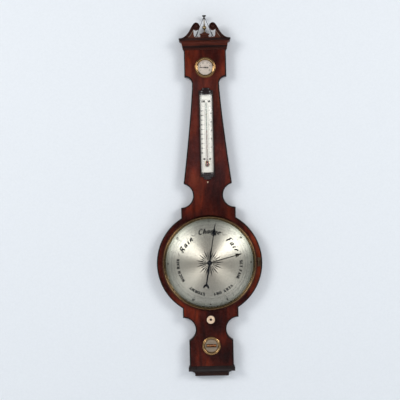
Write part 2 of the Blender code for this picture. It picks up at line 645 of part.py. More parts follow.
FRONT_ROOT = ROD_Y - R_PINION - (MODULE + 0.1)      # root plane of the set hand's wheel
BACK_ROOT = ROD_Y + R_PINION + (MODULE + 0.1)       # root plane of the knob's wheel
wheel = lathe("set_hand_wheel", [(1.28, -36.0), (2.5, -36.0), (2.5, FRONT_ROOT - 1.6), (R_CROWN + 1.1, FRONT_ROOT - 1.6),
                                 (R_CROWN + 1.1, FRONT_ROOT), (R_CROWN - 1.3, FRONT_ROOT), (R_CROWN - 2.0, FRONT_ROOT - 0.5),
                                 (3.0, FRONT_ROOT - 0.5), (3.0, FRONT_ROOT + 0.4), (1.28, FRONT_ROOT + 0.4)],
              (0, 0, 0), 32, BRASS, "set_pointer")
apply_boolean(wheel, [crown_teeth("set_wheel_teeth", (0, 0), FRONT_ROOT, 1, 270)], "UNION")
arbor = lathe("setting_arbor", [(0, -36.4), (1.8, -36.2), (1.8, BACK_ROOT + 0.5), (R_CROWN - 2.0, BACK_ROOT + 0.5), (R_CROWN - 1.3, BACK_ROOT),
                                (R_CROWN + 1.1, BACK_ROOT), (R_CROWN + 1.1, BACK_ROOT + 1.6), (0, BACK_ROOT + 1.6)],
              (0, 0, Z_KNOB), 32, BRASS, "setting_knob", closed=False)
apply_boolean(arbor, [crown_teeth("knob_wheel_teeth", (0, Z_KNOB), BACK_ROOT, -1, 90)], "UNION")


def pinion_loop():
    pts = []
    for k in range(N_PINION):
        c = math.radians(45 * k)
        for r, h in ((1.95, -0.245), (2.8, -0.130), (3.4, -0.050), (3.4, 0.050), (2.8, 0.130), (1.95, 0.245)):
            pts.append((r * math.cos(c + h), ROD_Y + r * math.sin(c + h)))
    return pts


rod = cyl_z("setting_rod", 0, ROD_Y, 1.2, Z_KNOB + R_CROWN - 2.2, -R_CROWN + 2.4, 12, IRON, "setting_rod")
apply_boolean(rod, [plate_xy("pinion_up", [pinion_loop()], -R_CROWN - 0.85, -R_CROWN + 0.85, IRON, cutter=True),
                    plate_xy("pinion_low", [pinion_loop()], Z_KNOB + R_CROWN - 0.85, Z_KNOB + R_CROWN + 0.85, IRON, cutter=True)], "UNION")
guide = box("rod_guide", (-4.0, -27.2, -86), (4.0, -20.4, -80), BRASS)
apply_boolean(guide, [cyl_z("cut_guide", 0, ROD_Y, 1.3, -90, -76, 12, cutter=True)])
lathe("setting_knob", [(2.1, -31.8), (8.4, -31.8), (10.6, -32.6), (11.8, -34.2), (11.9, -35.6), (11.0, -37.2), (9.0, -38.3), (6.4, -38.9),
                       (4.4, -38.9), (3.3, -38.3), (2.9, -37.2), (2.9, -36.6), (2.1, -36.6)], (0, 0, Z_KNOB), 20, BONE, "setting_knob")

# ------------------------------------------------------------------ siphon tube, mercury, floats and threads
mid = (SHORT_X + LONG_X) / 2
bend_r = (LONG_X - SHORT_X) / 2


def siphon_path(z_start, z_end, n=12):
    pts = [(SHORT_X, TUBE_Y, z_start), (SHORT_X, TUBE_Y, (z_start + Z_BEND) / 2)]
    for i in range(n + 1):
        a = math.pi + math.pi * i / n
        pts.append((mid + bend_r * math.cos(a), TUBE_Y, Z_BEND + bend_r * math.sin(a)))
    pts += [(LONG_X, TUBE_Y, (Z_BEND + z_end) / 2), (LONG_X, TUBE_Y, z_end)]
    return pts


swept("siphon_tube", siphon_path(Z_SHORT_OPEN, Z_LONG_TOP), TUBE_RO, 12, GLASS, inner=TUBE_RI, inner_path=siphon_path(Z_SHORT_OPEN, Z_LONG_TOP - 2.5))
swept("mercury", siphon_path(Z_MERC_SHORT, Z_MERC_LONG), MERC_R, 10, MERCURY)
lathe("float_weight", [(0, Z_MERC_SHORT + 0.3), (1.5, Z_MERC_SHORT + 0.6), (2.3, Z_MERC_SHORT + 2), (2.3, Z_MERC_SHORT + 22), (1.2, Z_MERC_SHORT + 24), (0, Z_MERC_SHORT + 24.6)],
      (SHORT_X, TUBE_Y, 0), 12, GLASS, "float", "Z", False)
cyl_z("float_thread", SHORT_X, TUBE_Y, 0.25, Z_MERC_SHORT + 24.9, -0.2, 6, SILK, "float")
lathe("counterweight", [(0, -82), (2.4, -81.4), (2.4, -62), (1.0, -60), (0, -59.8)], (-PULLEY_R, TUBE_Y - 2.6, 0), 12, GLASS, "counterweight", "Z", False)
cyl_z("counter_thread", -PULLEY_R, TUBE_Y - 2.6, 0.25, -59.5, -0.2, 6, SILK, "counterweight")


def clip(name, z):
    """A sprung brass clip astride the long limb, on the floor of the channel."""
    r0, r1 = TUBE_RO + GAP, TUBE_RO + GAP + 0.5
    outer_ = [(LONG_X + r1 * math.cos(math.radians(a)), TUBE_Y + r1 * math.sin(math.radians(a))) for a in range(-30, 211, 30)]
    inner_ = [(LONG_X + r0 * math.cos(math.radians(a)), TUBE_Y + r0 * math.sin(math.radians(a))) for a in range(210, -31, -30)]
    base = [(LONG_X - 5.0, -19.2), (LONG_X + 5.0, -19.2)]
    loop = outer_ + [(LONG_X - 5.0, -17.2)] + base + [(LONG_X + 5.0, -17.2)]
    inn = inner_ + [(LONG_X + 4.2, -18.6), (LONG_X - 4.2, -18.6)]
    return plate_xy(name, [loop, inn], z - 5, z + 5, BRASS)


clip("tube_clip", 330)

# ------------------------------------------------------------------ back door, hinges and turn button
prism("back_door", [[(-17.0, -275.0), (35.7, -275.0), (35.7, 612.0), (-17.0, 612.0)]], -7.7, -3.2, PINE, "back_door", smooth=False)
dx, dy = AXIS_DOOR
for label, zc in (("lower", -180), ("upper", 520)):
    leaf = box(f"hinge_{label}_case_leaf", (-31.0, -2.9, zc - 12.4), (dx, -1.9, zc + 12.4), BRASS)
    for z0, z1 in ((zc - 13, zc - 4.3), (zc + 4.3, zc + 13)):
        apply_boolean(leaf, [box(f"cut_case_leaf_{label}_{z0}", (dx - 1.7, -4, z0), (dx + 1, 0, z1), cutter=True)])
    apply_boolean(leaf, [cyl_z(f"knuckle_{label}", dx, dy, 1.3, zc - 4.3, zc + 4.3, 10, cutter=True),
                         cyl_z(f"pin_{label}", dx, dy, 0.62, zc - 12.3, zc + 12.3, 8, cutter=True)], "UNION")
    dleaf = box(f"hinge_{label}_door_leaf", (dx + 0.3, -2.9, zc - 12.4), (-4.0, -1.9, zc + 12.4), BRASS, "back_door")
    apply_boolean(dleaf, [box(f"cut_door_leaf_{label}", (dx - 1, -4, zc - 4.6), (dx + 1.7, 0, zc + 4.6), on="back_door", cutter=True)])
    ks = []
    for z0, z1 in ((zc - 12.35, zc - 4.65), (zc + 4.65, zc + 12.35)):
        ks.append(cyl_z(f"door_knuckle_{label}_{z0}", dx, dy, 1.3, z0, z1, 10, on="back_door", cutter=True))
    apply_boolean(dleaf, ks, "UNION")
    apply_boolean(dleaf, [cyl_z(f"cut_pin_{label}", dx, dy, 0.75, zc - 14, zc + 14, 8, on="back_door", cutter=True)])
btn = mirrored([(0, 88.0), (2.6, 89.0), (4.0, 91.6), (4.0, 108.4), (2.6, 111.0), (0, 112.0)])
btn = [p for i, p in enumerate(btn) if i == 0 or p != btn[i - 1]]
btn = [(44 + x, z) for x, z in btn][:-1]
prism("turn_button", [btn, circle(44, 100, 1.95, 10)], -2.8, -1.7, BRASS, "turn_button")
lathe("turn_button_screw", [(0, -12), (1.8, -10.5), (1.8, -1.4), (3.2, -1.4), (3.2, -0.9), (1.8, -0.3), (0, -0.2)], (44, 0, 100), 12, BRASS, closed=False)

# ------------------------------------------------------------------ hygrometer
lathe("hygrometer_bezel", [(21.6, -31.8), (30.0, -31.8), (30.0, -33.4), (29.2, -35.8), (27.4, -37.2), (25.6, -36.6), (24.7, -37.6), (24.5, -37.2), (24.5, -34.8), (21.6, -34.8)],
      (0, 0, Z_HYGRO), 32, BRASS)
lathe("hygrometer_glass", [(0, -37.6), (10, -37.4), (18, -36.9), (24.2, -36.0), (24.2, -35.1), (18, -35.6), (10, -36.0), (0, -36.2)],
      (0, 0, Z_HYGRO), 32, GLASS, closed=False)
lathe("hygrometer_dial", [(1.4, -29.4), (23.2, -29.4), (23.2, -28.4), (1.4, -28.4)], (0, 0, Z_HYGRO), 32, SILVERED)
hy = mirrored([(0.0, -9.0), (1.6, -8.2), (1.9, -6.4), (0.7, -5.2), (0.55, -2.0)] + arc(0, 0, 2.2, -70, 70, 6) + [(0.5, 2.2), (0.45, 11.0), (1.7, 11.4), (0.25, 17.5)])
hy = [(x, z + Z_HYGRO) for x, z in turned(hy, -88)]
prism("hygrometer_hand", [hy, circle(0, Z_HYGRO, 0.75, 8)], -31.6, -31.1, STEEL, "hygrometer_pointer")
lathe("oat_beard", [(0, -22.5), (1.1, -22.5), (1.1, -24.6), (0.45, -25.0), (0.42, -32.2), (0, -32.4)], (0, 0, Z_HYGRO), 8, STRAW, closed=False)

# ------------------------------------------------------------------ thermometer
TH_MID, TH_X = (TH_LO + TH_HI) / 2, 21.0
frame = prism("thermometer_frame", [[(-TH_X, TH_LO + 8), (TH_X, TH_LO + 8), (TH_X, TH_HI - 8), (-TH_X, TH_HI - 8)],
                                    [(-18.4, 262.2), (18.4, 262.2), (18.4, 488.8), (-18.4, 488.8)]], -36.0, -31.8, EBONY, smooth=False)


def bow(name, half, z0, z1, y_base, rise, mat, cutter=True):
    """A block with a bowed front."""
    n = 10
    pts = [(half * (1 - 2 * i / n), y_base - rise * (1 - (1 - 2 * i / n) ** 2)) for i in range(n + 1)]
    return plate_xy(name, [[(-half, -31.8), (half, -31.8)] + pts], z0, z1, mat, cutter=cutter)


caps = [bow("cap_top_a", 20.6, 488.4, 497.0, -35.0, 8.2, EBONY), bow("cap_top_b", 18.0, 496.6, 503.0, -34.0, 6.4, EBONY), bow("cap_top_c", 12.0, 502.6, 509.0, -33.0, 4.0, EBONY),
        bow("cap_low_a", 20.6, 254.0, 262.6, -35.0, 8.2, EBONY), bow("cap_low_b", 18.0, 248.0, 254.4, -34.0, 6.4, EBONY), bow("cap_low_c", 12.0, 242.0, 248.4, -33.0, 4.0, EBONY)]
apply_boolean(frame, caps, "UNION")
n = 12
outer_ = [(18.0 * (1 - 2 * i / n), -36.3 - 7.4 * (1 - (1 - 2 * i / n) ** 2)) for i in range(n + 1)]
inner_ = [(16.6 * (-1 + 2 * i / n), -36.3 - 5.9 * (1 - (1 - 2 * i / n) ** 2)) for i in range(n + 1)]
plate_xy("thermometer_glass", [outer_ + inner_], 262.9, 488.1, GLASS)
prism("thermometer_scale", [[(-18.0, 262.6), (18.0, 262.6), (18.0, 488.4), (-18.0, 488.4)]], -32.7, -31.8, SILVERED, smooth=False)
TB = 287.5
ball = [(4.3 * math.sin(math.radians(a)), TB - 4.3 * math.cos(math.radians(a))) for a in (30, 60, 90, 120)]
iball = [(3.5 * math.sin(math.radians(a)), TB - 3.5 * math.cos(math.radians(a))) for a in (120, 90, 60, 30)]
lathe("thermometer_tube", [(0, TB - 4.3)] + ball + [(1.9, TB + 5.4), (1.7, 466.0), (0.9, 466.0), (0.9, TB + 5.0)] + iball + [(0, TB - 3.5)],
      (0, -37.2, 0), 12, GLASS, axis="Z", closed=False)
lathe("thermometer_spirit", [(0, TB - 3.1), (1.8, TB - 2.4), (3.05, TB), (1.8, TB + 2.4), (0.6, TB + 3.8), (0.6, 384.0), (0, 384.4)],
      (0, -37.2, 0), 10, SPIRIT, axis="Z", closed=False)

# ------------------------------------------------------------------ spirit level
lathe("level_bezel", [(18.6, -31.8), (26.6, -31.8), (26.6, -33.2), (25.6, -35.6), (23.6, -36.8), (21.6, -36.2), (20.4, -34.8), (19.0, -33.6)],
      (0, 0, Z_LEVEL), 32, BRASS)
slot = [(-14.2, Z_LEVEL - 4.4), (14.2, Z_LEVEL - 4.4), (14.2, Z_LEVEL + 4.4), (-14.2, Z_LEVEL + 4.4)]
prism("level_plate", [circle(0, Z_LEVEL, 20.1, 32), slot], VENEER_F, VENEER_B, SILVERED)
vial = []
verts, faces = [], []
for x, r in ((-19, 4.0), (19, 4.0), (19, 3.0), (-19, 3.0)):
    verts += [(x, -25.6 + r * math.cos(2 * math.pi * k / 16), Z_LEVEL + r * math.sin(2 * math.pi * k / 16)) for k in range(16)]
for i in range(4):
    for k in range(16):
        a, b = i * 16, ((i + 1) % 4) * 16
        faces.append((a + k, a + (k + 1) % 16, b + (k + 1) % 16, b + k))
obj_from("level_vial", verts, faces, GLASS)
verts = []
for x in (-18, 18):
    verts += [(x, -25.6 + 2.7 * math.cos(2 * math.pi * k / 12), Z_LEVEL + 2.7 * math.sin(2 * math.pi * k / 12)) for k in range(12)]
faces = [(k, (k + 1) % 12, 12 + (k + 1) % 12, 12 + k) for k in range(12)] + [tuple(range(12)), tuple(range(23, 11, -1))]
obj_from("level_spirit", verts, faces, SPIRIT)
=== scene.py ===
import math

import bmesh
import bpy
from mathutils import Matrix, Vector


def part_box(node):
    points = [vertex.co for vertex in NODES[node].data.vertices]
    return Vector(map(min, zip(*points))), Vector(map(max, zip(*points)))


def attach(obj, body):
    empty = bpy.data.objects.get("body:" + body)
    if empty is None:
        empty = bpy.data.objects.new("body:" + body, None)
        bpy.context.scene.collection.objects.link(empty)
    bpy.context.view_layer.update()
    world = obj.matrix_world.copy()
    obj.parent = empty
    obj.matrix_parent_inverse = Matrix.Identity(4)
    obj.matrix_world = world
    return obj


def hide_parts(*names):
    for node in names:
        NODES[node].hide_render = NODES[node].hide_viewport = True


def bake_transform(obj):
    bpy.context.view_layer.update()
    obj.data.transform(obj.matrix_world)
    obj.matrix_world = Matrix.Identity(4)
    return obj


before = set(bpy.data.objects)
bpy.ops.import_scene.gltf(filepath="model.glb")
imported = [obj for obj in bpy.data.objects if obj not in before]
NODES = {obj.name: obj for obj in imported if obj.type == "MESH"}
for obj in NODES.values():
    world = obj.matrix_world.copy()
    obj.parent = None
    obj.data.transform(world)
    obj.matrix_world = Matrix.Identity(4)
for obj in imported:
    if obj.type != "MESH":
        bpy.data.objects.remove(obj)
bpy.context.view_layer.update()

# Lengths in this script are in millimetres, with heights measured from the centre of the main dial,
# x to the right and y = 0 on the wall. DC is the dial centre's height in the frame.
_lo, _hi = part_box("dial_plate")
DC = (_lo.z + _hi.z) / 2 * 1000


def P(x, y, z):
    return Vector((x, y, z + DC)) * 0.001


# =================================================================== camera first
SCALE = 2.9                      # millimetres of object to one pixel of the 400 pixel frame
roll = math.radians(-1.295)
R = Vector((math.cos(roll), 0, math.sin(roll)))
U = Vector((-math.sin(roll), 0, math.cos(roll)))
DIST = 4000.0
target = Vector((0, 0, 0)) - R * (9.6 * SCALE) + U * (63.0 * SCALE)
cam_data = bpy.data.cameras.new("camera")
cam = bpy.data.objects.new("camera", cam_data)
bpy.context.scene.collection.objects.link(cam)
cam_data.sensor_width = 36.0
cam_data.lens = 36.0 * (DIST - 35.0) / (400 * SCALE)
cam_data.clip_end = 50
m = Matrix((R, U, Vector((0, -1, 0)))).transposed()
cam.matrix_world = Matrix.Translation(P(target.x, -DIST, target.z)) @ m.to_4x4()
bpy.context.scene.camera = cam

# =================================================================== material helpers


class Nodes:
    """A short way to wire a node material."""

    def __init__(self, name):
        self.m = bpy.data.materials.new(name)
        self.m.use_nodes = True
        self.t = self.m.node_tree
        self.b = self.t.nodes["Principled BSDF"]
        self.out = self.t.nodes["Material Output"]
        self.coord = None

    def node(self, kind, **props):
        n = self.t.nodes.new(kind)
        for k, v in props.items():
            setattr(n, k, v)
        return n

    def link(self, a, b):
        self.t.links.new(a, b)

    def obj(self, scale=(1, 1, 1), rot=(0, 0, 0), loc=(0, 0, 0)):
        if self.coord is None:
            self.coord = self.node("ShaderNodeTexCoord")
        mp = self.node("ShaderNodeMapping")
        mp.inputs["Scale"].default_value = scale
        mp.inputs["Rotation"].default_value = rot
        mp.inputs["Location"].default_value = loc
        self.link(self.coord.outputs["Object"], mp.inputs["Vector"])
        return mp.outputs["Vector"]

    def noise(self, vec, scale, detail=4.0, rough=0.55, distort=0.0):
        n = self.node("ShaderNodeTexNoise")
        n.inputs["Scale"].default_value = scale
        n.inputs["Detail"].default_value = detail
        n.inputs["Roughness"].default_value = rough
        n.inputs["Distortion"].default_value = distort
        self.link(vec, n.inputs["Vector"])
        return n.outputs["Fac"]

    def wave(self, vec, scale, distort, detail=2.0, dscale=1.0, kind="BANDS", direction="X", profile="SIN"):
        n = self.node("ShaderNodeTexWave", wave_type=kind, wave_profile=profile)
        if kind == "BANDS":
            n.bands_direction = direction
        else:
            n.rings_direction = direction
        n.inputs["Scale"].default_value = scale
        n.inputs["Distortion"].default_value = distort
        n.inputs["Detail"].default_value = detail
        n.inputs["Detail Scale"].default_value = dscale
        self.link(vec, n.inputs["Vector"])
        return n.outputs["Fac"]

    def ramp(self, fac, stops, mode="LINEAR"):
        n = self.node("ShaderNodeValToRGB")
        n.color_ramp.interpolation = mode
        e = n.color_ramp.elements
        while len(e) < len(stops):
            e.new(0.5)
        for i, (pos, col) in enumerate(stops):
            e[i].position = pos
            e[i].color = (*col, 1) if len(col) == 3 else col
        self.link(fac, n.inputs["Fac"])
        return n.outputs["Color"]

    def map(self, fac, a, b, c, d):
        n = self.node("ShaderNodeMapRange")
        for k, v in (("From Min", a), ("From Max", b), ("To Min", c), ("To Max", d)):
            n.inputs[k].default_value = v
        self.link(fac, n.inputs["Value"])
        return n.outputs["Result"]

    def math(self, op, a, b=None):
        n = self.node("ShaderNodeMath", operation=op)
        for i, v in enumerate((a, b)):
            if v is None:
                continue
            if isinstance(v, (int, float)):
                n.inputs[i].default_value = v
            else:
                self.link(v, n.inputs[i])
        return n.outputs[0]

    def mix(self, fac, a, b, blend="MIX"):
        n = self.node("ShaderNodeMix", data_type="RGBA", blend_type=blend)
        for sock, v in ((n.inputs[0], fac), (n.inputs[6], a), (n.inputs[7], b)):
            if isinstance(v, (int, float)):
                sock.default_value = v
            elif isinstance(v, tuple):
                sock.default_value = (*v, 1) if len(v) == 3 else v
            else:
                self.link(v, sock)
        return n.outputs[2]

    def bump(self, height, strength, dist=0.001):
        n = self.node("ShaderNodeBump")
        n.inputs["Strength"].default_value = strength
        n.inputs["Distance"].default_value = dist
        self.link(height, n.inputs["Height"])
        self.link(n.outputs["Normal"], self.b.inputs["Normal"])
        return n

    def set(self, **kw):
        names = {"color": "Base Color", "rough": "Roughness", "metal": "Metallic", "coat": "Coat Weight", "coat_rough": "Coat Roughness",
                 "aniso": "Anisotropic", "aniso_rot": "Anisotropic Rotation", "ior": "IOR", "trans": "Transmission Weight", "sheen": "Sheen Weight",
                 "sss": "Subsurface Weight", "spec": "Specular IOR Level"}
        for k, v in kw.items():
            s = self.b.inputs[names[k]]
            if isinstance(v, (int, float)):
                s.default_value = v
            elif isinstance(v, tuple):
                s.default_value = (*v, 1) if len(v) == 3 else v
            else:
                self.link(v, s)
        return self


def xyz(n):
    if n.coord is None:
        n.coord = n.node("ShaderNodeTexCoord")
    s = n.node("ShaderNodeSeparateXYZ")
    n.link(n.coord.outputs["Object"], s.inputs[0])
    return s.outputs


def flame_mahogany(name, dark=1.0, along="Z"):
    """French-polished figured mahogany: broad flame figure, ribbon streaks, fine dark pores and cloudy patches; darker
    and mottled below the dial, and a purplish painted sheen over the trunk.
    """
    n = Nodes(name)
    st = (1, 1, 1) if along == "Z" else (1, 1, 1)
    v = n.obj(st)
    warp = n.noise(n.obj((1.0, 1.0, 0.42)), 9.0, 3.0, 0.55, 0.6)
    big = n.noise(n.obj((1.2, 1.0, 0.5), loc=(0.3, 0, 0.13)), 7.5, 3.0, 0.5, 1.3)
    sx = 1.0 if along == "Z" else 0.16
    sz = 0.16 if along == "Z" else 1.0
    ribbon = n.noise(n.obj((sx, 1.0, sz), rot=(0, 0.10, 0)), 42.0, 5.0, 0.62, 1.4)
    fine = n.noise(n.obj((sx, 0.5, sz * 0.22)), 520.0, 3.0, 0.6, 0.0)
    base = n.ramp(big, [(0.32, (0.018 * dark, 0.0042 * dark, 0.0034 * dark)), (0.46, (0.060 * dark, 0.0105 * dark, 0.0060 * dark)),
                        (0.58, (0.120 * dark, 0.0205 * dark, 0.0078 * dark)), (0.74, (0.225 * dark, 0.048 * dark, 0.0140 * dark))])
    rib = n.ramp(ribbon, [(0.34, (0.40, 0.36, 0.36)), (0.52, (0.92, 0.90, 0.90)), (0.68, (1.45, 1.35, 1.25))])
    c = n.mix(0.86, base, rib, "MULTIPLY")
    cloud = n.ramp(warp, [(0.36, (0.55, 0.52, 0.55)), (0.62, (1.18, 1.12, 1.05))])
    c = n.mix(0.70, c, cloud, "MULTIPLY")
    pores = n.ramp(fine, [(0.60, (1, 1, 1)), (0.70, (0.52, 0.48, 0.48))])
    c = n.mix(0.75, c, pores, "MULTIPLY")
    # below the dial the veneer is darkened in mottled patches
    low = n.map(xyz(n)[2], -0.845, -0.900, 0.0, 0.62)
    c = n.mix(low, c, n.ramp(big, [(0.40, (0.25, 0.22, 0.20)), (0.62, (0.85, 0.72, 0.62))]), "MULTIPLY")
    c = n.mix(1.0, c, (1.06, 0.84, 0.80), "MULTIPLY")
    # the trunk is pulled toward a dull purplish grey: a painted sheen, the reflection of the bright room painted into
    # the colour
    up = n.math("MULTIPLY", n.map(xyz(n)[2], -0.56, -0.46, 0.0, 0.34), n.map(xyz(n)[2], -0.20, -0.13, 1.0, 0.0))
    c = n.mix(up, c, n.ramp(warp, [(0.36, (0.030, 0.014, 0.015)), (0.64, (0.078, 0.032, 0.032))]))
    rough = n.map(n.noise(v, 60.0, 4.0, 0.6), 0.3, 0.7, 0.20, 0.36)
    n.set(color=c, rough=rough, coat=0.07, coat_rough=0.10, spec=0.14)
    n.bump(fine, 0.10, 0.00025)
    return n.m


def plain_mahogany(name, tint=(0.060, 0.0125, 0.0068), light=1.0, worn=0.35):
    n = Nodes(name)
    streak = n.noise(n.obj((1, 1, 0.14)), 90.0, 5.0, 0.6, 0.8)
    fine = n.noise(n.obj((1, 1, 0.05)), 620.0, 3.0, 0.6)
    lo = tuple(v * 0.30 * light for v in tint)
    hi = tuple(v * 1.55 * light for v in tint)
    c = n.ramp(streak, [(0.32, lo), (0.52, tuple(v * light for v in tint)), (0.72, hi)])
    c = n.mix(0.6, c, n.ramp(fine, [(0.58, (1, 1, 1)), (0.70, (0.5, 0.45, 0.45))]), "MULTIPLY")
    wear = n.node("ShaderNodeNewGeometry")
    edge = n.ramp(wear.outputs["Pointiness"], [(0.515, (0, 0, 0)), (0.56, (1, 1, 1))])
    c = n.mix(n.math("MULTIPLY", edge, worn), c, (0.17, 0.055, 0.030))
    n.set(color=c, rough=n.map(streak, 0.3, 0.7, 0.28, 0.42), coat=0.06, coat_rough=0.18, spec=0.15)
    n.bump(fine, 0.08, 0.0002)
    return n.m


def ebonised(name, coat=0.04, coat_rough=0.2, spec=0.16, tint=(1.0, 1.0, 1.0)):
    n = Nodes(name)
    grain = n.noise(n.obj((1, 1, 0.12)), 160.0, 5.0, 0.6, 0.4)
    c = n.ramp(grain, [(0.35, tuple(a * b for a, b in zip(tint, (0.0018, 0.0014, 0.0017)))), (0.70, tuple(a * b for a, b in zip(tint, (0.0064, 0.0044, 0.0044))))])
    geo = n.node("ShaderNodeNewGeometry")
    edge = n.ramp(geo.outputs["Pointiness"], [(0.52, (0, 0, 0)), (0.58, (1, 1, 1))])
    c = n.mix(n.math("MULTIPLY", edge, 0.16), c, (0.075, 0.036, 0.026))
    n.set(color=c, rough=n.map(grain, 0.3, 0.7, 0.26, 0.42), coat=coat, coat_rough=coat_rough, spec=spec)
    n.bump(grain, 0.08, 0.0002)
    return n.m


def pine(name):
    n = Nodes(name)
    rings = n.wave(n.obj((1.0, 0.35, 0.05), rot=(0, 0.03, 0)), 9.0, 16.0, 4.0, 0.8)
    fibre = n.noise(n.obj((1, 1, 0.04)), 700.0, 4.0, 0.6)
    c = n.ramp(rings, [(0.15, (0.42, 0.25, 0.125)), (0.60, (0.35, 0.195, 0.09)), (0.92, (0.25, 0.125, 0.052))])
    c = n.mix(0.5, c, n.ramp(fibre, [(0.4, (1.1, 1.1, 1.1)), (0.68, (0.62, 0.58, 0.54))]), "MULTIPLY")
    dirt = n.ramp(n.noise(n.obj(), 16.0, 5.0, 0.65), [(0.35, (0.42, 0.36, 0.30)), (0.62, (1, 1, 1))])
    c = n.mix(0.75, c, dirt, "MULTIPLY")
    n.set(color=c, rough=n.map(fibre, 0.3, 0.7, 0.62, 0.85), spec=0.25)
    n.bump(fibre, 0.25, 0.0004)
    return n.m


def metal(name, colour, rough=(0.18, 0.36), patina=None, amount=0.5, scale=70.0, bands=None):
    n = Nodes(name)
    blot = n.noise(n.obj(), scale, 6.0, 0.65, 0.4)
    small = n.noise(n.obj(), scale * 9, 3.0, 0.6)
    dark = patina or tuple(v * 0.32 for v in colour)
    c = n.mix(n.math("MULTIPLY", n.ramp(blot, [(0.42, (0, 0, 0)), (0.74, (1, 1, 1))]), amount), colour, dark)
    c = n.mix(0.30, c, n.ramp(small, [(0.35, (0.70, 0.70, 0.70)), (0.65, (1.1, 1.1, 1.1))]), "MULTIPLY")
    geo = n.node("ShaderNodeNewGeometry")
    cav = n.ramp(geo.outputs["Pointiness"], [(0.40, (0.30, 0.26, 0.20)), (0.495, (1, 1, 1))])
    c = n.mix(0.8, c, cav, "MULTIPLY")
    if bands:
        # a turned ring coloured in bands across its profile: painted shade in its hollows and along its outer edge,
        # partly real tarnish there, and painted highlight bands left lighter on its beads
        zc, stops = bands
        x, y, z = xyz(n)
        zz = n.math("SUBTRACT", z, zc * 0.001)
        r = n.math("SQRT", n.math("ADD", n.math("MULTIPLY", x, x), n.math("MULTIPLY", zz, zz)))
        r0, r1 = stops[0][0], stops[-1][0]
        t = n.map(r, r0 * 0.001, r1 * 0.001, 0.0, 1.0)
        c = n.mix(1.0, c, n.ramp(t, [((q - r0) / (r1 - r0), col) for q, col in stops]), "MULTIPLY")
    n.set(color=c, rough=n.map(blot, 0.3, 0.75, rough[0], rough[1]), metal=1.0)
    n.bump(small, 0.05, 0.00015)
    return n.m


def silvered(name, aniso=0.0, radial=False, bright=1.0, warm=1.0, rough=(0.30, 0.42), warm_centre_and_painted_shade=False, uv=False, metal_=1.0, painted_shade_x=None, tone=(0.62, 0.55, 0.44)):
    """Silvered and brushed brass, a little yellowed, with lathe or straight brushing."""
    n = Nodes(name)
    x, y, z = xyz(n)
    if radial:
        zz = n.math("SUBTRACT", z, DC * 0.001)
        r = n.math("SQRT", n.math("ADD", n.math("MULTIPLY", x, x), n.math("MULTIPLY", zz, zz)))
        comb = n.node("ShaderNodeCombineXYZ")
        n.link(r, comb.inputs[0])
        ang = n.math("ARCTAN2", zz, x)
        n.link(n.math("MULTIPLY", ang, 0.006), comb.inputs[1])
        brush = n.noise(comb.outputs[0], 1500.0, 3.0, 0.7)
        n.link(r, comb.inputs[2])
    else:
        brush = n.noise(n.obj((1, 1, 0.03)), 1400.0, 3.0, 0.7)
    age = n.noise(n.obj(), 22.0, 5.0, 0.6, 0.3)
    spots = n.noise(n.obj(), 260.0, 4.0, 0.7)
    hi = tuple(v * bright for v in tone)
    lo = tuple(v * 0.78 for v in hi)
    c = n.ramp(age, [(0.30, lo), (0.66, hi)])
    c = n.mix(0.30, c, n.ramp(brush, [(0.3, (0.72, 0.72, 0.72)), (0.7, (1.15, 1.15, 1.15))]), "MULTIPLY")
    c = n.mix(0.55, c, n.ramp(spots, [(0.60, (1, 1, 1)), (0.76, (0.60, 0.56, 0.50))]), "MULTIPLY")
    if warm_centre_and_painted_shade:
        w = n.map(r, 0.030, 0.115, 0.55, 0.0)
        c = n.mix(w, c, (0.70 * bright, 0.58 * bright, 0.46 * bright))
        # towards the rim the dial is darkened in two steps: painted shade, the bezel's shadow on the dial
        edge = n.map(r, 0.098, 0.126, 0.0, 0.30)
        c = n.mix(edge, c, (0.50 * bright, 0.50 * bright, 0.42 * bright))
        # round the hub the dial is darkened: painted shade that damps the bright spun-metal highlight at the centre
        hub = n.map(r, 0.0085, 0.0165, 0.82, 0.0)
        c = n.mix(hub, c, (0.17 * bright, 0.155 * bright, 0.13 * bright))
        bezel_shadow = n.map(r, 0.1135, 0.1265, 0.0, 0.80)
        c = n.mix(bezel_shadow, c, (0.24 * bright, 0.235 * bright, 0.175 * bright))
    # the plate darkens towards both long sides: painted shade, as a bowed plate under curved glass would show
    if painted_shade_x:
        ax_ = n.math("ABSOLUTE", x)
        c = n.mix(n.map(ax_, painted_shade_x * 0.55, painted_shade_x * 1.08, 0.0, 0.62), c, (0.26, 0.235, 0.205))
    n.set(color=c, rough=n.map(brush, 0.3, 0.7, rough[0], rough[1]), metal=metal_)
    if aniso:
        n.set(aniso=aniso, aniso_rot=0.25)
        tan = n.node("ShaderNodeTangent", direction_type="UV_MAP" if uv else "RADIAL")
        if not uv:
            tan.axis = "Y"
        n.link(tan.outputs[0], n.b.inputs["Tangent"])
    n.bump(brush, 0.035, 0.00008)
    return n.m


def engraved(name, colour=(0.012, 0.011, 0.010)):
    """Black wax in the engraving, slightly uneven."""
    n = Nodes(name)
    f = n.noise(n.obj(), 420.0, 4.0, 0.7)
    lighter = tuple(v * 2.5 + 0.008 for v in colour)
    n.set(color=n.ramp(f, [(0.42, colour), (0.72, lighter)]), rough=n.map(f, 0.3, 0.7, 0.5, 0.7), spec=0.12)
    return n.m


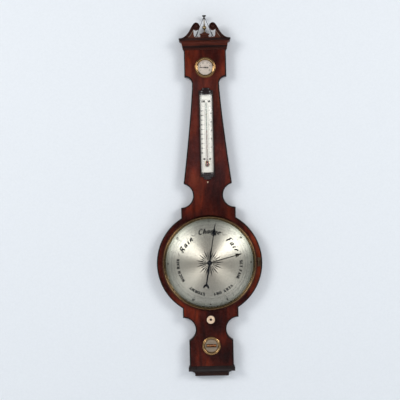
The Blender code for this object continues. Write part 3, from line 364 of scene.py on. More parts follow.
def clear_glass(name, tint=(0.985, 0.99, 0.985), gloss=0.9):
    """Thin clear glass: see-through, with the surface reflection only."""
    n = Nodes(name)
    n.t.nodes.remove(n.b)
    tr = n.node("ShaderNodeBsdfTransparent")
    tr.inputs["Color"].default_value = (*tint, 1)
    gl = n.node("ShaderNodeBsdfGlossy")
    smear = n.noise(n.obj(), 35.0, 5.0, 0.6)
    n.link(n.map(smear, 0.35, 0.7, 0.06, 0.12), gl.inputs["Roughness"])
    gl.inputs["Color"].default_value = (0.95, 0.97, 1.0, 1)
    fr = n.node("ShaderNodeFresnel")
    fr.inputs["IOR"].default_value = 1.45
    fac = n.math("MULTIPLY", fr.outputs[0], gloss)
    mx = n.node("ShaderNodeMixShader")
    n.link(fac, mx.inputs[0])
    n.link(tr.outputs[0], mx.inputs[1])
    n.link(gl.outputs[0], mx.inputs[2])
    n.link(mx.outputs[0], n.out.inputs["Surface"])
    return n.m


def bone(name):
    n = Nodes(name)
    a = n.noise(n.obj((1, 1, 1)), 130.0, 5.0, 0.6, 0.8)
    lines = n.noise(n.obj((1, 1, 0.1)), 900.0, 2.0, 0.5)
    c = n.ramp(a, [(0.30, (0.50, 0.335, 0.200)), (0.55, (0.72, 0.545, 0.375)), (0.75, (0.83, 0.70, 0.54))])
    c = n.mix(0.4, c, n.ramp(lines, [(0.5, (1, 1, 1)), (0.7, (0.72, 0.62, 0.5))]), "MULTIPLY")
    n.set(color=c, rough=n.map(a, 0.3, 0.7, 0.26, 0.44), coat=0.3, coat_rough=0.2, spec=0.5)
    n.bump(lines, 0.06, 0.0002)
    return n.m


def liquid(name, colour, rough=0.06, metal_=0.0):
    n = Nodes(name)
    a = n.noise(n.obj(), 60.0, 3.0, 0.5)
    n.set(color=n.ramp(a, [(0.3, tuple(v * 0.8 for v in colour)), (0.7, tuple(min(1, v * 1.15) for v in colour))]),
          rough=n.map(a, 0.2, 0.8, rough, rough + 0.05), metal=metal_)
    return n.m


def fibre(name, colour):
    n = Nodes(name)
    tw = n.wave(n.obj((1, 1, 1), rot=(0.6, 0, 0.5)), 1300.0, 0.5, 1.0)
    n.set(color=n.ramp(tw, [(0.2, tuple(v * 0.5 for v in colour)), (0.8, colour)]), rough=n.map(tw, 0, 1, 0.7, 0.9), spec=0.2)
    n.bump(tw, 0.4, 0.0002)
    return n.m


M_FLAME = flame_mahogany("mahogany_flame")
M_SIDE = plain_mahogany("mahogany_plain")
M_DARK = plain_mahogany("mahogany_dark", (0.026, 0.0052, 0.0034))
M_FOOT = plain_mahogany("mahogany_foot", (0.013, 0.0036, 0.0026), worn=0.07)
M_FASCIA = plain_mahogany("mahogany_red", (0.092, 0.0135, 0.0058))
# pale wood colour for the strip inside the pediment bands: a painted highlight
M_HIGHLIGHT_LINE = plain_mahogany("pale_highlight_line", (0.46, 0.36, 0.28))
M_EBONY = ebonised("ebonised")
M_BASE = ebonised("ebonised_base", 0.35, 0.12, 0.24)
M_POLISHED = ebonised("ebonised_polished", 0.75, 0.08, 0.30, (2.6, 1.1, 1.0))
M_PINE = pine("aged_pine")
M_BRASS = metal("aged_brass", (0.33, 0.24, 0.125), (0.18, 0.34), (0.10, 0.075, 0.04), 0.6, scale=150.0)
M_BRASS_HI = metal("bright_brass", (0.72, 0.51, 0.27), (0.12, 0.26), (0.30, 0.20, 0.09), 0.35, scale=190.0)
# the bezel's bands paint highlight lines on its beads, and shade in its hollows and on its outer edge
M_BEZEL = metal("bezel_brass", (0.335, 0.262, 0.162), (0.18, 0.34), (0.10, 0.075, 0.04), 0.6, scale=150.0, bands=(DC, (
    (127.0, (0.42, 0.38, 0.30)), (128.6, (0.60, 0.56, 0.46)), (129.8, (0.85, 0.80, 0.68)), (131.0, (0.42, 0.36, 0.28)),
    (132.4, (0.92, 0.78, 0.62)), (134.2, (0.75, 0.50, 0.36)), (135.4, (0.30, 0.13, 0.12)), (139.0, (0.24, 0.09, 0.09)))))
# the two small rings get the same painted highlight and shade bands
M_RING = [metal(f"ring_brass_{i}", (0.74, 0.50, 0.25), (0.12, 0.26), (0.30, 0.18, 0.08), 0.40, scale=190.0, bands=(DC + zc, (
    (a, (0.45, 0.38, 0.30)), (a + 2.2, (0.62, 0.55, 0.45)), (b, (1.0, 1.0, 1.0)), (c, (0.55, 0.42, 0.32)), (c + 1.6, (0.85, 0.75, 0.62)), (d, (0.42, 0.24, 0.16)))))
    for i, (zc, a, b, c, d) in enumerate(((567.5, 21.6, 25.4, 27.2, 30.0), (-240.4, 18.6, 22.6, 24.0, 26.6)))]
M_BRASS_DARK = metal("tarnished_brass", (0.16, 0.105, 0.06), (0.28, 0.45), (0.05, 0.03, 0.02), 0.8)
M_BRASS_DULL = metal("dull_brass", (0.40, 0.29, 0.15), (0.28, 0.48), (0.10, 0.07, 0.035), 0.85)
M_BRONZE = metal("dark_bronze", (0.085, 0.068, 0.045), (0.16, 0.32), (0.045, 0.035, 0.025), 0.7)
M_BLUED = metal("blued_steel", (0.028, 0.030, 0.036), (0.22, 0.36), (0.050, 0.032, 0.022), 0.35)
M_STEEL = metal("dull_steel", (0.33, 0.33, 0.34), (0.30, 0.48), (0.16, 0.10, 0.06), 0.6)
M_WIRE = metal("wire_steel", (0.16, 0.18, 0.21), (0.28, 0.44), (0.20, 0.18, 0.16), 0.5)
M_DIAL = silvered("silvered_dial", aniso=0.90, radial=True, warm_centre_and_painted_shade=True, bright=0.98, rough=(0.132, 0.165), tone=(0.745, 0.685, 0.575))
M_PLATE = silvered("silvered_plate", tone=(0.97, 0.915, 0.835), rough=(0.40, 0.50), metal_=0.04, painted_shade_x=0.0165)
M_SMALL = silvered("silvered_small", tone=(0.70, 0.59, 0.51), rough=(0.34, 0.46), metal_=0.20)
M_LEVELPLATE = silvered("dull_plate", tone=(0.40, 0.31, 0.22), rough=(0.36, 0.5), metal_=0.5)
M_WAX = engraved("engraving")
M_GLASS = clear_glass("clear_glass", gloss=0.35)
M_TUBEGLASS = clear_glass("tube_glass", (0.93, 0.96, 0.95), 1.0)
M_BONE = bone("turned_bone")
M_MERC = liquid("mercury", (0.78, 0.79, 0.81), 0.04, 1.0)
M_SPIRIT = liquid("red_spirit", (0.42, 0.045, 0.025))
M_LEVEL = liquid("level_fluid", (0.80, 0.30, 0.10))
M_SILK = fibre("silk_thread", (0.30, 0.24, 0.16))
M_OAT = fibre("oat_straw", (0.55, 0.40, 0.18))

# =================================================================== mesh helpers
PIECES = []


def finish_mesh(name, verts, faces, mat, body="case", slot=None, replaces=(), angle=35, recalc=True, uv=False):
    me = bpy.data.meshes.new(name)
    me.from_pydata([P(*v) for v in verts], [], faces)
    bm = bmesh.new()
    bm.from_mesh(me)
    bmesh.ops.remove_doubles(bm, verts=bm.verts, dist=2e-6)
    bmesh.ops.dissolve_degenerate(bm, edges=bm.edges, dist=1e-7)
    if recalc:
        bmesh.ops.recalc_face_normals(bm, faces=bm.faces)
    if uv:
        lay = bm.loops.layers.uv.new("UVMap")
        for f in bm.faces:
            for lp in f.loops:
                lp[lay].uv = (lp.vert.co.z * 2, lp.vert.co.x * 2)
    bm.to_mesh(me)
    bm.free()
    me.shade_smooth()
    me.set_sharp_from_angle(angle=math.radians(angle))
    for mt in (mat if isinstance(mat, (list, tuple)) else [mat]):
        me.materials.append(mt)
    ob = bpy.data.objects.new(name, me)
    bpy.context.scene.collection.objects.link(ob)
    if body:
        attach(ob, body)
    if replaces:
        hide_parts(*replaces)
    PIECES.append(ob)
    return ob


def triangulate(loops):
    bm = bmesh.new()
    edges = []
    for loop in loops:
        vs = [bm.verts.new((x * 0.001, 0, z * 0.001)) for x, z in loop]
        for i in range(len(vs)):
            edges.append(bm.edges.new((vs[i], vs[(i + 1) % len(vs)])))
    bm.verts.index_update()
    bmesh.ops.triangle_fill(bm, use_beauty=True, use_dissolve=False, edges=edges, normal=(0, -1, 0))
    tris = [tuple(v.index for v in f.verts) for f in bm.faces]
    bm.free()
    return tris


def circle(cx, cz, r, n, start=0.0):
    return [(cx + r * math.cos(start + 2 * math.pi * i / n), cz + r * math.sin(start + 2 * math.pi * i / n)) for i in range(n)]


def arc(cx, cz, r, a0, a1, n):
    return [(cx + r * math.cos(math.radians(a0 + (a1 - a0) * i / n)), cz + r * math.sin(math.radians(a0 + (a1 - a0) * i / n))) for i in range(n + 1)]


class Soup:
    """Collects closed islands into one mesh."""

    def __init__(self):
        self.v, self.f = [], []

    def add(self, verts, faces):
        k = len(self.v)
        self.v += verts
        self.f += [tuple(i + k for i in f) for f in faces]

    def prism(self, loops, y0, y1):
        pts = [p for loop in loops for p in loop]
        n = len(pts)
        verts = [(x, y0, z) for x, z in pts] + [(x, y1, z) for x, z in pts]
        faces = []
        tris = triangulate(loops) if len(loops) > 1 or n > 4 else [tuple(range(n))]
        faces += list(tris) + [tuple(i + n for i in reversed(t)) for t in tris]
        s = 0
        for loop in loops:
            m_ = len(loop)
            for i in range(m_):
                a, b = s + i, s + (i + 1) % m_
                faces.append((a, b, b + n, a + n))
            s += m_
        self.add(verts, faces)

    def lathe(self, profile, centre, seg, axis="Y", closed=True, a0=0.0, a1=360.0):
        verts, rows = [], []
        cx, cy, cz = centre
        full = abs(a1 - a0 - 360) < 1e-6
        cols = seg if full else seg + 1
        for r, h in profile:
            row = []
            for k in range(1 if r < 1e-9 else cols):
                a = math.radians(a0 + (a1 - a0) * k / seg)
                u, v = r * math.cos(a), r * math.sin(a)
                verts.append((cx + u, cy + h, cz + v) if axis == "Y" else (cx + u, cy + v, cz + h))
                row.append(len(verts) - 1)
            rows.append(row)
        faces = []
        pairs = list(zip(rows, rows[1:])) + ([(rows[-1], rows[0])] if closed else [])
        for a, b in pairs:
            for k in range(seg):
                k2 = (k + 1) % cols if full else k + 1
                q = [a[k % len(a)], a[k2 % len(a)], b[k2 % len(b)], b[k % len(b)]]
                q = [x for i, x in enumerate(q) if x not in q[:i]]
                if len(q) > 2:
                    faces.append(tuple(q))
        if not full:
            faces.append(tuple(r[0] for r in rows))
            faces.append(tuple(r[-1] for r in reversed(rows)))
        self.add(verts, faces)

    def tube(self, path, radius, seg, caps=True):
        pts = [Vector(p) for p in path]
        verts, faces, prev = [], [], None
        for i, p in enumerate(pts):
            t = (pts[min(i + 1, len(pts) - 1)] - pts[max(i - 1, 0)]).normalized()
            if prev is None:
                nn = t.cross(Vector((0, 1, 0)))
                if nn.length < 1e-5:
                    nn = Vector((1, 0, 0))
                nn.normalize()
            else:
                nn = (prev - t * prev.dot(t)).normalized()
            prev = nn
            bb = t.cross(nn)
            r = radius[i] if isinstance(radius, list) else radius
            for k in range(seg):
                a = 2 * math.pi * k / seg
                verts.append(tuple(p + nn * (r * math.cos(a)) + bb * (r * math.sin(a))))
        for i in range(len(pts) - 1):
            for k in range(seg):
                k2 = (k + 1) % seg
                faces.append((i * seg + k, i * seg + k2, (i + 1) * seg + k2, (i + 1) * seg + k))
        if caps:
            faces.append(tuple(range(seg)))
            e = (len(pts) - 1) * seg
            faces.append(tuple(e + k for k in reversed(range(seg))))
        self.add(verts, faces)

    def make(self, name, mat, body="case", **kw):
        return finish_mesh(name, self.v, self.f, mat, body, **kw)


def bead(cr, ch, r, a0, a1, n=8):
    """Points of a round bead in a turned profile, (radius, height)."""
    return [(cr + r * math.cos(math.radians(a0 + (a1 - a0) * i / n)), ch + r * math.sin(math.radians(a0 + (a1 - a0) * i / n))) for i in range(n + 1)]


def solid_lathe(name, profile, centre, seg, mat, body="case", axis="Y", closed=True, **kw):
    s = Soup()
    s.lathe(profile, centre, seg, axis, closed)
    return s.make(name, mat, body, **kw)


# =================================================================== the hanging wire (the cord) comes early
HANG = -DC


def wire_route():
    top_r, wr = 2.9, 0.6
    left, right = Vector((-23.6, -12.0, 662.6)), Vector((23.6, -12.0, 662.6))
    centre = Vector((0, -4.5, HANG - top_r - wr))
    ang = math.degrees(math.atan2(23.6, centre.z - left.z))
    bend = [(top_r * math.cos(math.radians(a)), centre.z + top_r * math.sin(math.radians(a)))
            for a in [180 - ang + (-(180 - 2 * ang)) * i / 8 for i in range(9)]]
    start, end = Vector((bend[0][0], centre.y, bend[0][1])), Vector((bend[-1][0], centre.y, bend[-1][1]))
    pts = [tuple(left.lerp(start, i / 10)) for i in range(10)]
    pts += [(x, centre.y, z) for x, z in bend]
    pts += [tuple(end.lerp(right, i / 10)) for i in range(1, 11)]
    return pts


route = wire_route()
cu = bpy.data.curves.new("wire", "CURVE")
cu.dimensions = "3D"
sp = cu.splines.new("POLY")
sp.points.add(len(route) - 1)
for p_, q_ in zip(sp.points, route):
    p_.co = (*P(*q_), 1.0)
cu.bevel_depth = 0.0008
cu.bevel_resolution = 3
cu.use_fill_caps = True
cu.materials.append(M_WIRE)
wire = bpy.data.objects.new("wire", cu)
bpy.context.scene.collection.objects.link(wire)
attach(wire, "case")
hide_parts("hanging_wire")
WIRE_LEN = sum((P(*a) - P(*b)).length for a, b in zip(route, route[1:]))
tuple(P(*route[0]))
for side, sx in (("left", -1), ("right", 1)):
    s = Soup()
    a, b = Vector(route[0]), Vector(route[6])
    a.x, b.x = sx * abs(a.x), sx * abs(b.x)
    d = (b - a).normalized()
    n1 = d.cross(Vector((0, 1, 0))).normalized()
    n2 = d.cross(n1)
    helix = [a + d * (0.8 + 11.0 * t / 96) + n1 * (1.15 * math.cos(t * 0.72)) + n2 * (1.15 * math.sin(t * 0.72)) for t in range(97)]
    s.tube([tuple(p) for p in helix], 0.5, 6)
    ring = [(sx * 23.6 + 0.2 * math.sin(q), -12.0 + 1.6 * math.sin(q), 661.9 + 1.3 + 1.7 * math.cos(q)) for q in [2 * math.pi * i / 20 for i in range(21)]]
    s.tube(ring, 0.5, 6)
    s.make(f"wire_twist_{side}", M_WIRE, slot="steel")

# =================================================================== the banjo outline, fine
STRING_W = 3.2
R_CASE, BLOCK_X, FOOT_X = 153.0, 60.9, 63.8
SH_UP, SH_LO = 79.0, 80.5
Z_TOP, Z_BOT = 651.7, -314.0
CUT_LO, CUT_UP, CUT_HEAD = (79.5, -193.0, 35.0), (78.3, 196.6, 34.8), (59.5, 521.0, 20.3)


def trunk_x(z):
    return 39.2 + 30.4 * (max(520.0 - z, 0.0) / 285.0) ** 1.2425


def half_outline(d=0.0, steps=28):
    def side(cx, r, x):
        return math.degrees(math.acos(min(max((cx - x) / r, -0.02), 1.0)))

    pts = [(FOOT_X - d, Z_BOT + d)]
    cx, cz, r = CUT_LO[0], CUT_LO[1], CUT_LO[2] + d
    pts += arc(cx, cz, r, 180 + side(cx, r, FOOT_X - d), 180 - min(side(cx, r, SH_LO - d), 90), steps)
    pts.append((SH_LO - d, max(cz + r, pts[-1][1] + 0.02)) if SH_LO - d > cx else (SH_LO - d, pts[-1][1] + 0.05))
    rc = R_CASE - d
    a_lo, a_up = math.degrees(math.acos((SH_LO - d) / rc)), math.degrees(math.acos((SH_UP - d) / rc))
    pts += arc(0, 0, rc, -a_lo, a_up, 2 * steps)
    cx, cz, r = CUT_UP[0], CUT_UP[1], CUT_UP[2] + d
    first = 180 + min(side(cx, r, SH_UP - d), 90)
    z_first = cz + r * math.sin(math.radians(first))
    pts.append((SH_UP - d, min(cz - r, z_first - 0.02)) if SH_UP - d > cx else (SH_UP - d, z_first - 0.05))
    lo, hi = 91.0, 150.0
    for _ in range(40):
        mm = (lo + hi) / 2
        if cx + r * math.cos(math.radians(mm)) > trunk_x(cz + r * math.sin(math.radians(mm))) - d:
            lo = mm
        else:
            hi = mm
    pts += arc(cx, cz, r, first, lo, steps)
    z_tip = pts[-1][1]
    for i in range(1, 25):
        z = z_tip + (520.0 - z_tip) * i / 24
        pts.append((trunk_x(z) - d, z))
    cx, cz, r = CUT_HEAD[0], CUT_HEAD[1], CUT_HEAD[2] + d
    pts += arc(cx, cz, r, 180, 180 - min(side(cx, r, BLOCK_X - d), 90), 16)
    pts.append((BLOCK_X - d, pts[-1][1] + 0.05))
    pts.append((BLOCK_X - d, Z_TOP - d))
    return pts


def outline(d=0.0):
    h = half_outline(d)
    return h + [(-x, z) for x, z in reversed(h)]


def rim(s, rows, cap_first=None, cap_last=None, closed=False):
    """Walls that follow the outline. rows are (inset, y); caps are lists of hole loops or None."""
    loops = [outline(d) for d, _ in rows]
    n = len(loops[0])
    assert all(len(q) == n for q in loops)
    verts = [(x, y, z) for (d, y), loop in zip(rows, loops) for x, z in loop]
    faces = []
    count = len(rows)
    for i in range(count if closed else count - 1):
        j = (i + 1) % count
        for k in range(n):
            k2 = (k + 1) % n
            faces.append((i * n + k, i * n + k2, j * n + k2, j * n + k))
    s.add(verts, faces)
    for row, holes in ((0, cap_first), (count - 1, cap_last)):
        if holes is None:
            continue
        y = rows[row][1]
        pts = [loops[row]] + holes
        flat = [(x, y, z) for loop in pts for x, z in loop]
        s.add(flat, triangulate(pts))


# --- edge stringing
s = Soup()
rim(s, [(0, -30.3), (0, -30.85), (0.18, -31.35), (0.55, -31.68), (1.05, -31.8), (2.6, -31.8), (3.0, -31.7), (3.2, -31.45), (3.2, -30.3)], closed=True)
s.make("edge_string", M_EBONY, slot="ebonised", replaces=("edge_stringing",))

# --- front veneer, with its round holes
Z_HY, Z_LV, Z_KN = 567.5, -240.4, -164.7
s = Soup()
holes = [(0, 0, 127.35, 160), (0, Z_HY, 23.6, 48), (0, Z_LV, 20.4, 48), (0, Z_KN, 2.6, 20)]
d0 = STRING_W + 0.15
front = [circle(x, z, r, n) for x, z, r, n in holes]
rim(s, [(d0, -30.3), (d0, -31.2), (d0 + 0.10, -31.42), (d0 + 0.32, -31.5)], cap_first=front, cap_last=front)
for x, z, r, n in holes:
    c = circle(x, z, r, n)
    s.add([(a, -30.3, b) for a, b in c] + [(a, -31.5, b) for a, b in c], [(i, (i + 1) % n, n + (i + 1) % n, n + i) for i in range(n)])
s.make("veneer", M_FLAME, slot="flame_veneer", replaces=("front_veneer",), angle=10)

# --- carcass: mahogany-veneered sides over a pine board, hollowed from the back
n = Nodes("case_wood")
geo = n.node("ShaderNodeNewGeometry")
sep = n.node("ShaderNodeSeparateXYZ")
n.link(geo.outputs["Normal"], sep.inputs[0])
x_, y_, z_ = xyz(n)
is_side = n.math("LESS_THAN", n.math("ABSOLUTE", sep.outputs[1]), 0.7)
wide = n.math("GREATER_THAN", n.math("ABSOLUTE", x_), 0.0380)
near_button = n.math("LESS_THAN", n.math("ABSOLUTE", n.math("SUBTRACT", z_, (100 + DC) * 0.001)), 0.014)
keep = n.math("MULTIPLY", is_side, n.math("MULTIPLY", wide, n.math("SUBTRACT", 1.0, n.math("MULTIPLY", near_button, n.math("LESS_THAN", n.math("ABSOLUTE", x_), 0.060)))))
streak = n.noise(n.obj((1, 1, 0.14)), 90.0, 5.0, 0.6, 0.8)
red = n.ramp(streak, [(0.32, (0.022, 0.0048, 0.003)), (0.52, (0.062, 0.0130, 0.0068)), (0.72, (0.110, 0.026, 0.011))])
rings_ = n.wave(n.obj((1.0, 0.35, 0.045), loc=(0.3, 0, 0.1)), 7.0, 18.0, 4.0, 0.8)
fib = n.noise(n.obj((1, 1, 0.04)), 700.0, 4.0, 0.6)
pale = n.ramp(rings_, [(0.15, (0.34, 0.195, 0.092)), (0.60, (0.28, 0.150, 0.066)), (0.92, (0.19, 0.092, 0.038))])
pale = n.mix(0.5, pale, n.ramp(fib, [(0.4, (1.1, 1.1, 1.1)), (0.68, (0.6, 0.55, 0.5))]), "MULTIPLY")
pale = n.mix(0.7, pale, n.ramp(n.noise(n.obj(), 14.0, 5.0, 0.65), [(0.35, (0.40, 0.34, 0.28)), (0.62, (1, 1, 1))]), "MULTIPLY")
n.set(color=n.mix(keep, pale, red), rough=n.map(keep, 0, 1, 0.72, 0.30), spec=0.4)
n.bump(fib, 0.12, 0.0003)
M_CASE = n.m

s = Soup()
rim(s, [(0, -30.0), (0, -0.9), (0.25, -0.25), (0.8, 0.0)], cap_first=[], cap_last=[])
case = s.make("carcass", M_CASE, slot="mahogany", replaces=("case_board",), angle=12)


def cutter(name, soup):
    me = bpy.data.meshes.new(name)
    me.from_pydata([P(*v) for v in soup.v], [], soup.f)
    bm = bmesh.new()
    bm.from_mesh(me)
    bmesh.ops.remove_doubles(bm, verts=bm.verts, dist=1e-6)
    bmesh.ops.recalc_face_normals(bm, faces=bm.faces)
    bm.to_mesh(me)
    bm.free()
    ob = bpy.data.objects.new(name, me)
    bpy.context.scene.collection.objects.link(ob)
    return ob


def box_soup(x0, y0, z0, x1, y1, z1):
    q = Soup()
    q.prism([[(x0, z0), (x1, z0), (x1, z1), (x0, z1)]], y0, y1)
    return q


def round_soup(profile, x, z, seg):
    q = Soup()
    q.lathe(profile, (x, 0, z), seg, "Y", False)
    return q


def eye_hole(sx):
    q = Soup()
    q.lathe([(0, 636), (1.3, 636), (1.3, 660), (0, 660)], (23.6 * sx, -12, 0), 12, "Z", False)
    return q


cutters = [box_soup(-14, -19.5, -262, 34, -5, 606), box_soup(-17.45, -8.0, -275.3, 36.3, 2, 612.3),
           round_soup([(0, -33), (32, -33), (32, -8.2), (0, -8.2)], 0, 0, 64),
           round_soup([(0, -33), (1.9, -33), (1.9, -27.5), (10.8, -27.5), (10.8, -15), (0, -15)], 0, Z_KN, 40),
           box_soup(-4.3, -27.2, Z_KN + 4, 4.3, -17, -20), round_soup([(0, -33), (23.6, -33), (23.6, -22.2), (0, -22.2)], 0, Z_HY, 48),
           box_soup(-20, -33, Z_LV - 4.9, 20, -21.3, Z_LV + 4.9),
           round_soup([(0, -14), (2.1, -14), (2.1, -3.1), (12.8, -3.1), (12.8, 2), (0, 2)], 44, 100, 40), eye_hole(-1), eye_hole(1)]
for zc in (-180, 520):
    cutters.append(box_soup(-31.3, -3.2, zc - 12.8, -17.0, 2, zc + 12.8))
for k in range(4):
    a = math.radians(90 * k)
    cutters.append(round_soup([(0, -33), (1.5, -33), (1.5, -28.0), (0, -28.0)], 120.5 * math.sin(a), 120.5 * math.cos(a), 12))
cut_objects = []
for i, q in enumerate(cutters):
    ob = cutter(f"cut_{i}", q)
    cut_objects.append(ob)
    md = case.modifiers.new(f"cut_{i}", "BOOLEAN")
    md.operation, md.solver, md.object = "DIFFERENCE", "EXACT", ob
bpy.context.view_layer.update()
dg = bpy.context.evaluated_depsgraph_get()
cut_mesh = bpy.data.meshes.new_from_object(case.evaluated_get(dg))
case.modifiers.clear()
old = case.data
case.data = cut_mesh
cut_mesh.name = "carcass"
bpy.data.meshes.remove(old)
for ob in cut_objects:
    bpy.data.objects.remove(ob, do_unlink=True)
cut_mesh.shade_smooth()
cut_mesh.set_sharp_from_angle(angle=math.radians(12))


# =================================================================== mouldings round three sides
def wrapped(name, profile, half, mat, front=-32.1, **kw):
    verts, faces, m_ = [], [], len(profile)
    for sx, back in ((1, True), (1, False), (-1, False), (-1, True)):
        for d, z in profile:
            verts.append((sx * (half + d), -0.3 if back else front - d, z))
    for i in range(3):
        for k in range(m_):
            k2 = (k + 1) % m_
            faces.append((i * m_ + k, i * m_ + k2, (i + 1) * m_ + k2, (i + 1) * m_ + k))
    tris = triangulate([profile])
    for first in (0, 3 * m_):
        for t in tris:
            faces.append(tuple(first + i for i in t))
    return finish_mesh(name, verts, faces, mat, **kw)


prof = [(0, 619), (1.5, 619), (1.7, 619.3), (1.7, 621.8), (2.2, 622.3)] + [(2.4 + 1.3 * math.cos(math.radians(a)), 623.9 + 1.3 * math.sin(math.radians(a))) for a in (-70, -35, 0, 35, 70)] \
    + [(3.0, 625.6), (3.9, 626.0), (3.9, 629.6), (4.6, 630.2), (4.6, 631.4)] \
    + [(4.9 + 6.6 * (1 - math.cos(math.radians(9 * i))), 632.0 + 11.6 * math.sin(math.radians(9 * i)) ** 0.9) for i in range(0, 11)] \
    + [(12.1, 644.2), (12.1, 645.4), (12.6, 645.8), (12.6, 646.6)] + [(12.5 + 1.1 * math.sin(math.radians(a)), 648.6 - 1.6 * math.cos(math.radians(a))) for a in (20, 45, 70, 90)] \
    + [(13.6, 650.9), (13.3, 651.7), (0, 651.7)]
n = Nodes("cornice_wood")
x_, y_, z_ = xyz(n)
streak = n.noise(n.obj((0.14, 0.14, 1)), 110.0, 5.0, 0.6, 0.8)
red_cove_and_painted_light = n.math("MULTIPLY", n.map(z_, (630.8 + DC) * 0.001, (631.6 + DC) * 0.001, 0, 1), n.map(z_, (644.6 + DC) * 0.001, (645.4 + DC) * 0.001, 1, 0))
dark_c = n.ramp(streak, [(0.32, (0.0075, 0.0030, 0.0026)), (0.70, (0.028, 0.0085, 0.006))])
red_c = n.ramp(streak, [(0.32, (0.034, 0.0060, 0.0030)), (0.70, (0.092, 0.0150, 0.0060))])
# below 625 mm the lower fillets are also pulled toward the red: painted light that lifts the shade under the cove
red_cove_and_painted_light = n.math("MAXIMUM", red_cove_and_painted_light, n.map(z_, (625.2 + DC) * 0.001, (626.0 + DC) * 0.001, 0.62, 0.0))
n.set(color=n.mix(red_cove_and_painted_light, dark_c, red_c), rough=n.map(streak, 0.3, 0.7, 0.30, 0.44), coat=0.05, coat_rough=0.2, spec=0.16)
n.bump(streak, 0.06, 0.0003)
M_CORNICE = n.m
wrapped("cornice", prof, BLOCK_X + 0.3, M_CORNICE, slot="mahogany", replaces=("cornice_moulding",), angle=40)

prof = [(0, -314), (2.6, -314), (3.1, -313.6), (3.3, -313.0), (3.3, -304.4), (3.0, -303.6), (2.5, -303.1)] \
    + [(2.1 * math.cos(math.radians(a)) + 0.3, -302.9 + 3.3 * math.sin(math.radians(a))) for a in (10, 30, 50, 70)] + [(0.6, -299.3), (0.4, -299.0), (0, -299)]
wrapped("base_band", prof, FOOT_X + 0.3, M_BASE, slot="ebonised", replaces=("base_moulding",))

# --- the foot under the base band: fillet, hollow and small bead, mitred
s = Soup()
foot_prof = [(55.6, -30.6, -314.3), (55.6, -30.6, -316.0)]
for i in range(9):
    a = math.radians(90 * i / 8)
    foot_prof.append((55.2 - 6.2 * math.sin(a), -30.2 + 7.8 * math.sin(a), -316.2 - 7.4 * (1 - math.cos(a))))
foot_prof += [(48.9, -22.3, -325.0), (48.9, -22.3, -326.6), (48.6, -22.0, -328.0), (47.8, -21.2, -328.8), (47.0, -20.5, -329.0)]
verts, faces = [], []
for hx, yf, z in foot_prof:
    verts += [(-hx, yf, z), (hx, yf, z), (hx, -0.3, z), (-hx, -0.3, z)]
for i in range(len(foot_prof) - 1):
    for k in range(4):
        k2 = (k + 1) % 4
        faces.append((4 * i + k, 4 * i + k2, 4 * i + 4 + k2, 4 * i + 4 + k))
faces += [(3, 2, 1, 0), tuple(4 * (len(foot_prof) - 1) + k for k in range(4))]
s.add(verts, faces)
s.make("foot", M_FOOT, slot="mahogany", replaces=("base_foot",), angle=25)

# =================================================================== pediment
B0, B1, B2, B3 = (24.0, 697.0), (40.0, 697.0), (42.0, 652.0), (74.7, 652.0)
EYE = (24.0, 685.7)


def bez(t, o=0.0):
    u = 1 - t
    x = u ** 3 * B0[0] + 3 * u * u * t * B1[0] + 3 * u * t * t * B2[0] + t ** 3 * B3[0]
    z = u ** 3 * B0[1] + 3 * u * u * t * B1[1] + 3 * u * t * t * B2[1] + t ** 3 * B3[1]
    dx = 3 * (u * u * (B1[0] - B0[0]) + 2 * u * t * (B2[0] - B1[0]) + t * t * (B3[0] - B2[0]))
    dz = 3 * (u * u * (B1[1] - B0[1]) + 2 * u * t * (B2[1] - B1[1]) + t * t * (B3[1] - B2[1]))
    q = math.hypot(dx, dz)
    return (x + o * dz / q, z - o * dx / q)


# moulded section of the band: share of its width measured inwards, and depth
SECTION = [(0.0, -38.3), (0.0, -44.7), (0.04, -45.3), (0.12, -45.5), (0.26, -45.4), (0.32, -44.9), (0.36, -44.0), (0.48, -42.9), (0.62, -42.3), (0.70, -42.2),
           (0.73, -42.9), (0.79, -43.3), (0.87, -43.3), (0.94, -42.9), (0.98, -42.2), (1.0, -41.2), (1.0, -38.3)]


def swan(sx):
    rows = []
    for i in range(44):
        t = 1 - i / 43
        edge = bez(t)
        inn = bez(t, 7.5)
        rows.append((edge, inn, 0.0))
    turns = 72
    for i in range(1, turns + 1):
        ph = 90 + 500.0 * i / turns
        k = i / turns
        r = 11.3 * (1 - 0.62 * k)
        w = 7.5 + (2.6 - 7.5) * min(1.0, k * 1.25)
        c, sn = math.cos(math.radians(ph)), math.sin(math.radians(ph))
        rows.append(((EYE[0] + r * c, EYE[1] + r * sn), (EYE[0] + (r - w) * c, EYE[1] + (r - w) * sn), -2.2 * k))
    verts, faces, m_ = [], [], len(SECTION)
    base = 652.25
    for (ex, ez), (ix, iz), _drop in rows:
        for j, (f, y) in enumerate(SECTION):
            x, z = ex + (ix - ex) * f, ez + (iz - ez) * f
            if z < base:
                z = base + 0.004 * j
            verts.append((sx * x, y, z))
    for i in range(len(rows) - 1):
        for j in range(m_):
            j2 = (j + 1) % m_
            faces.append((i * m_ + j, i * m_ + j2, (i + 1) * m_ + j2, (i + 1) * m_ + j))
    faces.append(tuple(range(m_)))
    faces.append(tuple((len(rows) - 1) * m_ + j for j in reversed(range(m_))))
    q = Soup()
    q.add(verts, faces)
    # solid ground under the volute and its turned eye
    q.lathe([(0, -38.3), (10.9, -38.3), (10.9, -41.0), (10.5, -41.4), (0, -41.4)], (sx * EYE[0], 0, EYE[1]), 40, "Y", False)
    q.lathe([(0, -41.2), (3.4, -41.2), (3.4, -43.6), (3.0, -44.3), (2.2, -44.6), (1.8, -44.2), (1.5, -44.6), (0.8, -45.0), (0, -45.1)],
            (sx * EYE[0], 0, EYE[1]), 24, "Y", False)
    return q


for side, sx in (("right", 1), ("left", -1)):
    swan(sx).make(f"swan_{side}", M_DARK, slot="mahogany", replaces=(f"swan_neck_{side}",), angle=38)

